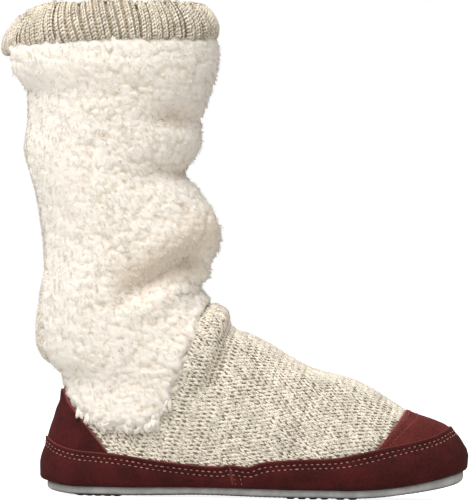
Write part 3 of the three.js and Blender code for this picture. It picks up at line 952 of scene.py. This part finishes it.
sherpa = fleece_material("cream_sherpa", 0.6)
sherpa_tips = fleece_material("sherpa_tips", 0.0)
curly_pile = pile_tree()
fibre = lock_mesh("fibre", 2.0, 0.3, 1.9, 3)
hem_lock = lock_mesh("hem_lock", 7.0, 1.7, 0.8, 6)
for side, name in ((1, "fleece_inner_side"), (-1, "fleece_outer_side")):
    half = grown(name, fleece_sheet(side), curly_pile, Material=sherpa)
    piece_from(half, None, "fleece_panel" if side > 0 else None)
    stray = lock_spots(half, 6500, 12, False)
    piece_from(planted(name + "_fibre", stray, fibre, sherpa_tips, 13, 0.25, 0.1))
    hanging = lock_spots(half, 170, 14, True)
    piece_from(planted(name + "_hem_locks", hanging, hem_lock, sherpa_tips, 15, 0.2, 0.1))

# Rib cuff. A strip of rib in the same wool, folded double over the collar and sewn to the
# shaft. Two wales stand up in each rib, and the grooves between ribs draw in.
RIBS = 48
RIB_WALE = 2.9
RIB_COURSE = 2.3
RIB_YARN = 0.86
RIB_LEAN = 0.7
CUFF_SINK = 0.55
# Outline of the folded strip, from its lower edge outside, over the top and down inside.
CUFF_ROLL = np.array([
    (0.00, 0.6, 0.06),
    (0.07, 4.4, 0.00),
    (0.20, 7.0, 0.16),
    (0.34, 7.5, 0.38),
    (0.48, 6.2, 0.60),
    (0.60, 3.4, 0.80),
    (0.70, 0.2, 0.93),
    (0.80, -3.0, 1.00),
    (0.90, -5.2, 0.86),
    (1.00, -5.8, 0.48),
], dtype=[("turn", float), ("out", float), ("up", float)])
collar_angles = even_angles(COLLAR, 2001, 0, 2 * math.pi)
# How far each groove draws in: by chance round the outer side, and groove by groove on the inner.
rib_draw = np.random.default_rng(11).choice([0.3, 0.6, 1.2, 3.0], RIBS)
rib_draw[:20] = 0.5
rib_draw[[5, 7, 9, 12, 14, 17]] = 1.6
rib_draw[[4, 6, 10, 16]] = 3.2


def surface_normals(points):
    """Outward normals of a grid of points."""
    return unit(np.cross(np.gradient(points, axis=0), np.gradient(points, axis=1)))


def rib_phase(around, up):
    """Number of ribs passed, from the front of the collar. Whole numbers are grooves."""
    wave = 2 * math.pi * around
    crowding = 0.4 * np.sin(2 * wave) + 0.18 * np.sin(5 * wave + 1) + 0.1 * np.sin(11 * wave)
    lean = np.sin(wave + 0.5) + 0.35 * np.sin(4 * wave)
    return RIBS * around + crowding - RIB_LEAN * lean * (up - 0.5)


def collar_angle(around):
    """Angle at a share of the way round the collar, from its front."""
    return np.interp(around % 1, np.linspace(0, 1, len(collar_angles)), collar_angles)


def cuff_point(around, turn):
    """Point on the face of the cuff, at a share of the way round and of the roll."""
    angle = collar_angle(around)
    up = along(CUFF_ROLL, "turn", "up", turn)
    phase = rib_phase(around, up)
    groove = (0.5 + 0.5 * np.cos(2 * math.pi * phase)) ** 3
    draw = rib_draw[np.round(phase).astype(int) % RIBS] * smooth(share(turn, 0, 0.1))
    out = along(CUFF_ROLL, "turn", "out", turn) - groove * draw * np.sign(0.8 - turn)
    p = last_point(angle, COLLAR) + last_normal(angle, COLLAR) * out[..., None]
    bottom, top = (along(CUFF_EDGE, "x", line, p[..., 0]) for line in ("bottom", "top"))
    wave = 0.7 * np.sin(2 * math.pi * 9 * around) + 0.5 * np.sin(2 * math.pi * 14 * around + 2)
    sag = 0.8 * groove * draw * share(turn, 0.45, 0.7)
    p[..., 2] = bottom + (top - bottom) * up + wave * 0.6 - sag
    return p


def cuff_body():
    """Knitted ground of the cuff, with the slot that holds the collar."""
    around, turn = np.meshgrid(np.linspace(0, 1, 461)[:-1], np.linspace(0, 1, 36))
    face = cuff_point(around, turn)
    loop = [face - surface_normals(face) * CUFF_SINK]
    outer_edge, inner_edge = loop[0][:1, :, 2], loop[0][-1:, :, 2]
    angle = collar_angle(around[:1])
    for out, up in ((-WALL - 0.6, 0.3), (GAP, 0.2)):
        row = boot_point(angle, np.full_like(angle, COLLAR - 2), out)
        row[..., 2] = inner_edge * up + outer_edge * (1 - up)
        loop.append(row)
    loop = np.concatenate(loop)
    return mesh_from("cuff_body", loop, grid_faces(len(loop), loop.shape[1], True, True))


def cuff_spots(wales):
    """Places of the cuff's stitches: wales at their share of each rib, courses round the fold."""
    fine = np.linspace(0, 1, 201)
    run = run_along(cuff_point(np.full_like(fine, 0.25 + 0.5 / RIBS), fine))
    turns = np.interp(np.arange(1.5, run[-1], RIB_COURSE), run, fine)
    wanted = (np.arange(RIBS)[:, None] + np.array(wales)).ravel()
    fine = np.linspace(-0.05, 1.05, 4401)
    around = np.array([
        np.interp(wanted, rib_phase(fine, up), fine)
        for up in along(CUFF_ROLL, "turn", "up", turns)
    ])
    turn = turns[:, None] + 0 * around
    climb = cuff_point(around, turn + 0.012) - cuff_point(around, turn - 0.012)
    turned = cuff_point(around + 0.003, turn) - cuff_point(around - 0.003, turn)
    facing = unit(np.cross(climb, turned))
    place = cuff_point(around, turn) - facing * 0.3
    return [v.reshape(-1, 3) for v in (place, facing, unit(climb))]


rib_yarn = yarn_material("rib_yarn", srgb(238, 229, 212), srgb(158, 142, 119), 0.8)
rib_stitch = stitch_mesh("rib_stitch", RIB_WALE, RIB_COURSE, RIB_YARN)
piece_from(cuff_body(), backing_material(), "rib_cuff")
piece_from(planted("cuff_stitches", cuff_spots([0.27, 0.73]), rib_stitch, rib_yarn, 5))
# Painted shade: the stitches down the grooves between ribs take a darker copy of the rib yarn.
groove_yarn = yarn_material("groove_yarn", srgb(200, 186, 163), srgb(126, 111, 91), 0.8)
piece_from(planted("groove_stitches", cuff_spots([0.0]), rib_stitch, groove_yarn, 8))

# Toe cap and heel counter. Pieces of oxblood suede, 1.4 mm thick, laid over the knit and sewn
# down. Their cut edges show the paler inside of the hide.
SUEDE = 1.4
TUCK = 4.0
SUEDE_SINK = 0.3
CUT_EDGE = np.array([
    (0.960, 1.00, 0.2),
    (0.985, 0.92, 0.5),
    (1.000, 0.66, 1.0),
], dtype=[("climb", float), ("thick", float), ("raw", float)])
CAP_ROWS = (1.2, 3.4)
CAP_PITCH = 2.5


def suede_group():
    """Nap of suede: patches brushed darker and lighter, and a fine grain."""
    group, given, result = new_group(
        "ShaderNodeTree",
        "suede_nap",
        [
            ("Dark", "NodeSocketColor", (0.05, 0.01, 0.01, 1)),
            ("Light", "NodeSocketColor", (0.1, 0.03, 0.03, 1)),
            ("Raw", "NodeSocketColor", (0.3, 0.1, 0.1, 1)),
            ("Raw Edge", "NodeSocketFloat", 0.0),
        ],
        [("Color", "NodeSocketColor"), ("Grain", "NodeSocketFloat")],
    )
    where = object_place(group)
    brushed = spread(group, noise(group, where, 70.0, 4.0, 0.6), 0.36, 0.66)
    specks = spread(group, noise(group, where, 700.0, 2.0), 0.4, 0.75)
    amount = calc(group, "MULTIPLY_ADD", specks, 0.45, calc(group, "MULTIPLY", brushed, 0.4))
    nap = blend_colour(group, amount, given.outputs["Dark"], given.outputs["Light"])
    colour = blend_colour(group, given.outputs["Raw Edge"], nap, given.outputs["Raw"])
    feed(group, result.inputs["Color"], colour)
    feed(group, result.inputs["Grain"], noise(group, where, 1700.0, 3.0))
    return group


SUEDE_NAP = suede_group()


def suede_material(name, dark, light, raw):
    """Brushed suede, with the paler raw hide where the mesh says that it is cut."""
    material, tree, surface = new_material(
        name,
        Roughness=0.92,
        Sheen_Weight=0.05,
        Sheen_Roughness=0.5,
        Sheen_Tint=srgb(190, 90, 80),
    )
    edge = painted(tree, "raw")
    nap = use_group(tree, SUEDE_NAP, Dark=dark, Light=light, Raw=raw, Raw_Edge=edge)
    feed(tree, surface.inputs["Base Color"], nap["Color"])
    add_bump(tree, surface, nap["Grain"], 0.4, 0.0005)
    return material


def crossing(angles, test, low, high):
    """Height at which the upper leaves a region of the side view, for each angle."""
    heights = np.linspace(low, high, 321)
    p = last_point(angles[None, :], heights[:, None])
    inside = test(p[..., 0], p[..., 2])
    last = len(heights) - 1 - np.argmax((inside > 0)[::-1], axis=0)
    last = np.where((inside > 0).any(0), np.minimum(last, len(heights) - 2), 0)
    columns = np.arange(len(angles))
    a, b = inside[last, columns], inside[last + 1, columns]
    return heights[last] + np.clip(a / (a - b + 1e-9), 0, 1) * (heights[1] - heights[0])


def band_top(angles):
    """Height of the band's top edge, for each angle."""
    return crossing(angles, lambda x, z: -above_band(x, z), 0, 48)


def overlay(name, angles, top):
    """Closed shell of suede from under the foxing band up to its own edge."""
    foot = band_top(angles) - TUCK
    shows = top > foot + TUCK - 1.0
    angles, top, foot = angles[shows], top[shows], foot[shows]
    face = np.linspace(0, 0.93, 34)
    thick = GAP + SUEDE * np.concatenate([np.ones_like(face), CUT_EDGE["thick"]])
    climb = np.concatenate([face, CUT_EDGE["climb"], [1.0, 0.0]])[:, None]
    out = np.concatenate([thick, [-SUEDE_SINK, -SUEDE_SINK]])[:, None]
    raw = np.concatenate([np.zeros_like(face), CUT_EDGE["raw"], [1.0, 0.0]])[:, None]
    height = foot + (top - foot) * climb
    shell = boot_point(angles[None, :], height, out + 0 * height)
    rows, columns = height.shape
    faces = grid_faces(rows, columns, close_rows=True).tolist()
    faces.append([r * columns for r in range(rows)][::-1])
    faces.append([r * columns + columns - 1 for r in range(rows)])
    return mesh_from(name, shell, faces, {"raw": (raw + 0 * height).ravel()})


def thread_mesh(name, length, thick):
    """One sewn stitch: a short thread that dives at both ends."""
    t = np.array([0, 0.2, 0.5, 0.8, 1])
    path = np.stack([0 * t, length * (t - 0.5), thick * (1.4 * np.sin(math.pi * t) - 0.9)], -1)
    swell = thick * np.array([0.85, 1.0, 0.85])
    return mesh_from(name, *spindle(path, swell, swell, 6))


def sewn_row(angles, height, out, pitch, phase=0.5):
    """Places of stitches along a line on the boot."""
    line = boot_point(angles, height, out + 0 * angles)
    facing = last_normal(angles, np.maximum(height, 0))
    run = run_along(line)
    at = np.arange(pitch * phase, run[-1], pitch)
    pick = lambda values, s: np.stack([np.interp(s, run, values[:, k]) for k in range(3)], -1)
    on = unit(pick(line, at + 0.3) - pick(line, at - 0.3))
    return pick(line, at), unit(pick(facing, at)), on


def joined(rows):
    """Several rows of places as one set."""
    return [np.concatenate(parts) for parts in zip(*rows)]


cap_suede = suede_material("cap_suede", srgb(82, 30, 28), srgb(122, 52, 48), srgb(150, 84, 78))
# Painted shade: the foxing band and the heel counter, which face sideways, take a darker copy of
# the cap's suede.
dark_suede = suede_material("dark_suede", srgb(55, 17, 17), srgb(88, 29, 28), srgb(150, 84, 78))

toe_angles = even_angles(25, 240, -1.5, 1.5)
cap_top = crossing(toe_angles, ahead_of_cap_edge, 5, 60)
piece_from(overlay("toe_cap_suede", toe_angles, cap_top), cap_suede, "toe_cap")
heel_angles = even_angles(25, 200, math.pi - 1.5, math.pi + 1.5)
counter_top = crossing(heel_angles, inside_counter, 5, 62)
counter = overlay("heel_counter_suede", heel_angles, counter_top)
# The heel counter wears the suede copy with painted shade.
piece_from(counter, dark_suede, "heel_counter")

overlay_thread = yarn_material("overlay_thread", srgb(140, 84, 78), srgb(104, 58, 54), 0.5)
fine_thread = thread_mesh("fine_thread", 1.7, 0.3)
rows = []
for inset in CAP_ROWS:
    shows = cap_top - inset > band_top(toe_angles) + 0.5
    rows.append(sewn_row(toe_angles[shows], (cap_top - inset)[shows], GAP + SUEDE, CAP_PITCH))
sewn = planted("overlay_thread", joined(rows), fine_thread, overlay_thread, 6, 0.08, 0.05)
piece_from(sewn)

# Foxing band. A strip of the same suede round the foot, turned under the sole and sewn to the
# upper by two rows of thread below its raw top edge. Its ends lap at the inner arch.
BAND = 2.0
BAND_TURN_IN = 9.0
# Rows of the part turned under the foot: height, and distance out from the upper.
BAND_UNDER = ((-2.3, -BAND_TURN_IN), (-2.3, -1.2), (-1.9, 0.6), (-1.2, 1.6))
BAND_SEAM = 84.4
SEAM_LAP = 0.9
SEAM_FADES_BY = 112
THREAD_ROWS = (3.3, 5.8)
THREAD_PITCH = 3.7
SEAM_ROWS = (2.0, 5.6)
SEAM_PITCH = 2.6


def band_out(below):
    """How far the band stands off the upper, at a distance below its top edge."""
    pinch = sum(bell((below - row) / 0.8) for row in THREAD_ROWS)
    over_cap = 0.5 * bell(below / 3)
    return GAP + BAND + 0.05 - 0.4 * pinch + 0.5 * smooth(share(below, 6, 11)) + over_cap


def seam_step(x, angles):
    """The front end of the strip laps over the back end."""
    rises = smooth(share(x, BAND_SEAM - 0.7, BAND_SEAM + 0.3))
    fades = smooth(share(x, BAND_SEAM + 4, SEAM_FADES_BY))
    return SEAM_LAP * rises * (1 - fades) * (np.sin(angles) > 0)


def foxing_band():
    """Closed shell of the strip: under the foot, up its face, over its cut edge and down again."""
    angles = even_angles(10, 521, 0, 2 * math.pi)[:-1]
    level = lambda value: np.full_like(angles, value)
    top = band_top(angles)
    x = last_point(angles, 10.0)[..., 0]
    step = seam_step(x, angles)
    below = np.concatenate([[0.0, 0.35, 1.2, 2.4], np.arange(2.9, 7.0, 0.4), [7.6, 8.6]])
    rows = [(level(height), level(out)) for height, out in BAND_UNDER]
    for climb in np.linspace(0, 1, 7)[:-1]:
        height = 0.4 + (top - below[-1] - 0.4) * climb
        rows.append((height, band_out(top - height) - 0.4 * (1 - smooth(climb)) + step))
    for down in below[::-1]:
        rows.append((top - down, band_out(down) + step - 0.35 * (down == 0)))
    rows += [(top - 0.05, level(GAP)), (level(0), level(GAP)), (level(0), level(-BAND_TURN_IN))]
    height, out = (np.stack(part) for part in zip(*rows))
    raw = np.zeros_like(height)
    raw[-5:-2] = np.array([0.2, 0.5, 0.5])[:, None]
    raw += 0.6 * (height > 1) * bell((x - BAND_SEAM + 0.2) / 0.5) * (np.sin(angles) > 0)
    shell = boot_point(angles[None, :], height, out)
    faces = grid_faces(len(height), len(angles), True, True)
    return mesh_from("foxing_band_suede", shell, faces, {"raw": np.minimum(raw, 1).ravel()})


def band_rows(phase):
    """Places of the stitches in the two rows round the band and the two down its seam."""
    angles = even_angles(10, 900, 0.002, 2 * math.pi - 0.002)
    top = band_top(angles)
    step = seam_step(last_point(angles, top)[..., 0], angles)
    rows = []
    for down in THREAD_ROWS:
        out = band_out(down) + step + 0.1
        rows.append(sewn_row(angles, top - down, out, THREAD_PITCH, phase))
    turn = np.linspace(0.3, 2.6, 4000)
    x = last_point(turn, 8.0)[..., 0]
    for beside in SEAM_ROWS:
        angle = np.interp(-(BAND_SEAM + beside), -x, turn)
        height = np.linspace(0.3, band_top(np.array([angle]))[0] - 7.0, 30)
        out = GAP + BAND + SEAM_LAP
        rows.append(sewn_row(np.full_like(height, angle), height, out, SEAM_PITCH, phase))
    return joined(rows)


sewing_thread = yarn_material("sewing_thread", srgb(186, 130, 118), srgb(128, 76, 68), 0.7)
thread = thread_mesh("thread", 2.1, 0.33)
# Painted shadows: dark drops sunk between the thread's dashes stand for the shade in the needle
# holes.
needle_hole = thread_mesh("needle_hole", 1.5, 0.3)
hole_shade = yarn_material("hole_shade", srgb(34, 10, 10), srgb(22, 6, 6), 0.5)
# The band wears the suede copy with painted shade.
piece_from(foxing_band(), dark_suede, "foxing_band")
piece_from(planted("band_thread", band_rows(0.5), thread, sewing_thread, 7, 0.1, 0.08))
piece_from(planted("needle_holes", band_rows(1.0), needle_hole, hole_shade, 16, 0.1, 0.05))

# Footbed. A felt-faced foam sheet, cut to the inside of the foot and laid in. It is a little
# dished under the heel and the ball, where the foot presses.
FOOTBED = 5.0
FOOTBED_INSET = WALL + GAP
HEEL_DISH = {"at": 5, "reach": 30, "deep": 1.2}
BALL_DISH = {"at": 145, "reach": 35, "deep": 1.4}


def rings_to_spine(outline, count):
    """Rings from an outline in to the line down its middle, where its two sides meet."""
    x = (outline[:, 0] + np.roll(outline[::-1, 0], 1)) / 2
    middle = (x.min() + x.max()) / 2
    x = middle + (x - middle) * 0.8
    order = np.argsort(outline[:, 0])
    level = np.interp(x, outline[order, 0], outline[order, 2])
    spine = np.stack([x, middle_line(x), level], -1)
    t = (np.arange(count + 1) / count)[:, None, None]
    return outline * (1 - t) + spine * t


def mirrored_angles(height, count):
    """Angles all the way round a section, with the same ones on both sides of its middle."""
    half = even_angles(height, count, 0, math.pi)
    return np.concatenate([half, -half[-2:0:-1]])


def sheet_faces(rings, columns):
    """Faces of a closed sheet, whose first and last rings lie folded together on the spine."""
    faces = grid_faces(rings, columns, close_columns=True)
    ring, column = np.divmod(faces, columns)
    same = np.minimum(column, (columns - column) % columns)
    return np.where((ring == 0) | (ring == rings - 1), ring * columns + same, faces)


def footbed_sheet():
    """Dished face, edge and plain underside, as one closed sheet."""
    angles = mirrored_angles(5, 91)
    top = rings_to_spine(boot_point(angles, FOOTBED, -FOOTBED_INSET), 8)
    for dish in (HEEL_DISH, BALL_DISH):
        deep = dish["deep"] * bell((top[..., 0] - dish["at"]) / dish["reach"])
        top[..., 2] -= deep * smooth(np.linspace(0, 1, len(top)))[:, None]
    foot = rings_to_spine(boot_point(angles, GAP, -FOOTBED_INSET), 4)
    loop = np.concatenate([foot[::-1], top])
    return mesh_from("footbed_sheet", loop, sheet_faces(len(loop), len(angles)))


def felt_material():
    """Cream felt in the wool of the knit."""
    material, tree, surface = new_material("felt", Roughness=1.0)
    wool = use_group(tree, MARLED_WOOL, Pale=srgb(214, 203, 184), Fleck=srgb(160, 146, 124))
    feed(tree, surface.inputs["Base Color"], wool["Color"])
    add_bump(tree, surface, wool["Fuzz"], 0.6, 0.0008)
    return material


piece_from(footbed_sheet(), felt_material(), "footbed")

# Outsole. A thin sheet of grey rubber with a rounded lower edge, glued under the turned-in band.
# Bars of tread stand down below the heel and the ball.
TREAD = 1.0
SOLE = 5.0
SOLE_TOE = {"start": 188, "end": 230, "reach": 2.0, "thicker": 1.6}
ARCH = {"at": 66, "reach": 30, "rise": 0.9}
LUG_SHARE = 0.68
UNDER_RINGS, TOP_RINGS = 14, 2
SOLE_EDGE = np.array([
    (6.2, 0.0),
    (4.6, 0.25),
    (3.3, 0.75),
    (2.5, 1.5),
    (2.2, 2.4),
    (2.2, SOLE),
], dtype=[("inset", float), ("z", float)])
LUGS = np.array([
    (-13, 14, 5),
    (119, 145, 4),
    (150, 163, 2),
], dtype=[("start", float), ("end", float), ("bars", float)])


def tread_depth(x):
    """How far the tread stands down at a place along the sole."""
    depth = 0.18 + 0.18 * np.sin(x * 2.1)
    for group in LUGS:
        pitch = (group["end"] - group["start"]) / (group["bars"] - 1 + LUG_SHARE)
        into = ((x - group["start"]) % pitch) / pitch
        bar = smooth(share(into, 0, 0.1)) * (1 - smooth(share(into, 0.6, 0.7)))
        inside = (x > group["start"]) & (x < group["end"])
        depth = np.where(inside, TREAD * bar, depth)
    return depth


def outsole_sheet():
    """Closed sheet: from the spine of the tread out, round the lower edge, and in again on top."""
    angles = mirrored_angles(0, 241)
    rings = []
    for row in SOLE_EDGE:
        ring = boot_point(angles, 0, -row["inset"])
        toe = smooth(share(ring[:, 0], SOLE_TOE["start"], SOLE_TOE["end"]))
        ring[:, 0] += SOLE_TOE["reach"] * toe
        x = ring[:, 0]
        arch = ARCH["rise"] * bell((x - ARCH["at"]) / ARCH["reach"])
        deeper = SOLE_TOE["thicker"] * toe * (1 - row["z"] / SOLE)
        ring[:, 2] = TREAD + row["z"] + lift(x) + arch - deeper
        rings.append(ring)
    under = rings_to_spine(rings[0], UNDER_RINGS)[::-1]
    inward = smooth(share(np.linspace(1, 0, len(under)), 0.02, 0.1))[:, None]
    under[..., 2] -= tread_depth(under[..., 0]) * inward
    top = rings_to_spine(rings[-1], TOP_RINGS)[1:]
    loop = np.concatenate([under, np.stack(rings[1:]), top])
    height = np.concatenate([np.zeros(UNDER_RINGS), SOLE_EDGE["z"], np.full(TOP_RINGS, SOLE)])
    layers = {"up": np.repeat(height, len(angles))}
    return mesh_from("outsole_sheet", loop, sheet_faces(len(loop), len(angles)), layers)


def rubber_material():
    """Grey rubber with a fine mottle, darker towards the tread."""
    material, tree, surface = new_material("grey_rubber", Roughness=0.65, Specular_IOR_Level=0.35)
    where = object_place(tree)
    mottle = spread(tree, noise(tree, where, 120.0, 4.0), 0.35, 0.7)
    grey = blend_colour(tree, mottle, srgb(174, 174, 172), srgb(198, 198, 196))
    # The colour darkens towards the tread.
    above_tread = spread(tree, painted(tree, "up"), 0.0, 1.2)
    colour = blend_colour(tree, above_tread, srgb(96, 94, 92), grey)
    feed(tree, surface.inputs["Base Color"], colour)
    add_bump(tree, surface, noise(tree, where, 800.0, 3.0), 0.3, 0.0006)
    return material


piece_from(outsole_sheet(), rubber_material(), "outsole")

# Camera at the boot's inner side, level with the middle of its height and rolled a little, as
# the photograph shows it. Soft light from above and in front, on a plain pale floor.
PHOTO_HEIGHT = 500
MM_PER_PIXEL = 0.632
VIEW_MIDDLE = (84.1, 156.0)
VIEW_DISTANCE = 5000
VIEW_ROLL = math.radians(0.8)
FLOOR_REACH = 4.0

camera = bpy.data.objects.new("camera", bpy.data.cameras.new("camera"))
bpy.context.scene.collection.objects.link(camera)
camera.data.lens = camera.data.sensor_width * VIEW_DISTANCE / (PHOTO_HEIGHT * MM_PER_PIXEL)
camera.location = (VIEW_MIDDLE[0] * MM, -VIEW_DISTANCE * MM, VIEW_MIDDLE[1] * MM)
camera.rotation_euler = (math.pi / 2, -VIEW_ROLL, 0)
bpy.context.scene.camera = camera

floor_mesh = bpy.data.meshes.new("floor")
corners = [(x * FLOOR_REACH, y * FLOOR_REACH, 0) for x, y in ((-1, -1), (1, -1), (1, 1), (-1, 1))]
floor_mesh.from_pydata(corners, [], [(0, 1, 2, 3)])
floor = bpy.data.objects.new("floor", floor_mesh)
bpy.context.scene.collection.objects.link(floor)
floor_paint, floor_tree, floor_surface = new_material(
    "floor_paint",
    Roughness=0.9,
    Base_Color=(0.65, 0.65, 0.65, 1),
    Emission_Color=(1, 1, 1, 1),
)
floor_seen = node(floor_tree, "ShaderNodeLightPath").outputs["Is Camera Ray"]
glow = calc(floor_tree, "MULTIPLY", floor_seen, 0.9)
feed(floor_tree, floor_surface.inputs["Emission Strength"], glow)
floor_mesh.materials.append(floor_paint)

world = bpy.data.worlds.new("studio")
bpy.context.scene.world = world
world.use_nodes = True
sky = world.node_tree
seen = node(sky, "ShaderNodeLightPath").outputs["Is Camera Ray"]
feed(sky, sky.nodes["Background"].inputs["Strength"], spread(sky, seen, 0.0, 1.0, 0.52, 1.0))
tint = blend_colour(sky, seen, (1.0, 0.96, 0.9, 1), (1, 1, 1, 1))
feed(sky, sky.nodes["Background"].inputs["Color"], tint)
bpy.context.scene.view_settings.view_transform = "Standard"


def soft_light(name, place, aim, size, power):
    """Square lamp that aims at a place."""
    light = bpy.data.lights.new(name, "AREA")
    light.size = size
    light.energy = power
    lamp = bpy.data.objects.new(name, light)
    bpy.context.scene.collection.objects.link(lamp)
    lamp.location = place
    lamp.rotation_euler = (Vector(aim) - Vector(place)).to_track_quat("-Z", "Y").to_euler()


soft_light("key", (-0.45, -1.05, 1.9), (0.05, 0, 0.15), 1.1, 37)
soft_light("front", (-0.5, -1.9, 0.8), (0.08, 0, 0.12), 1.0, 5)
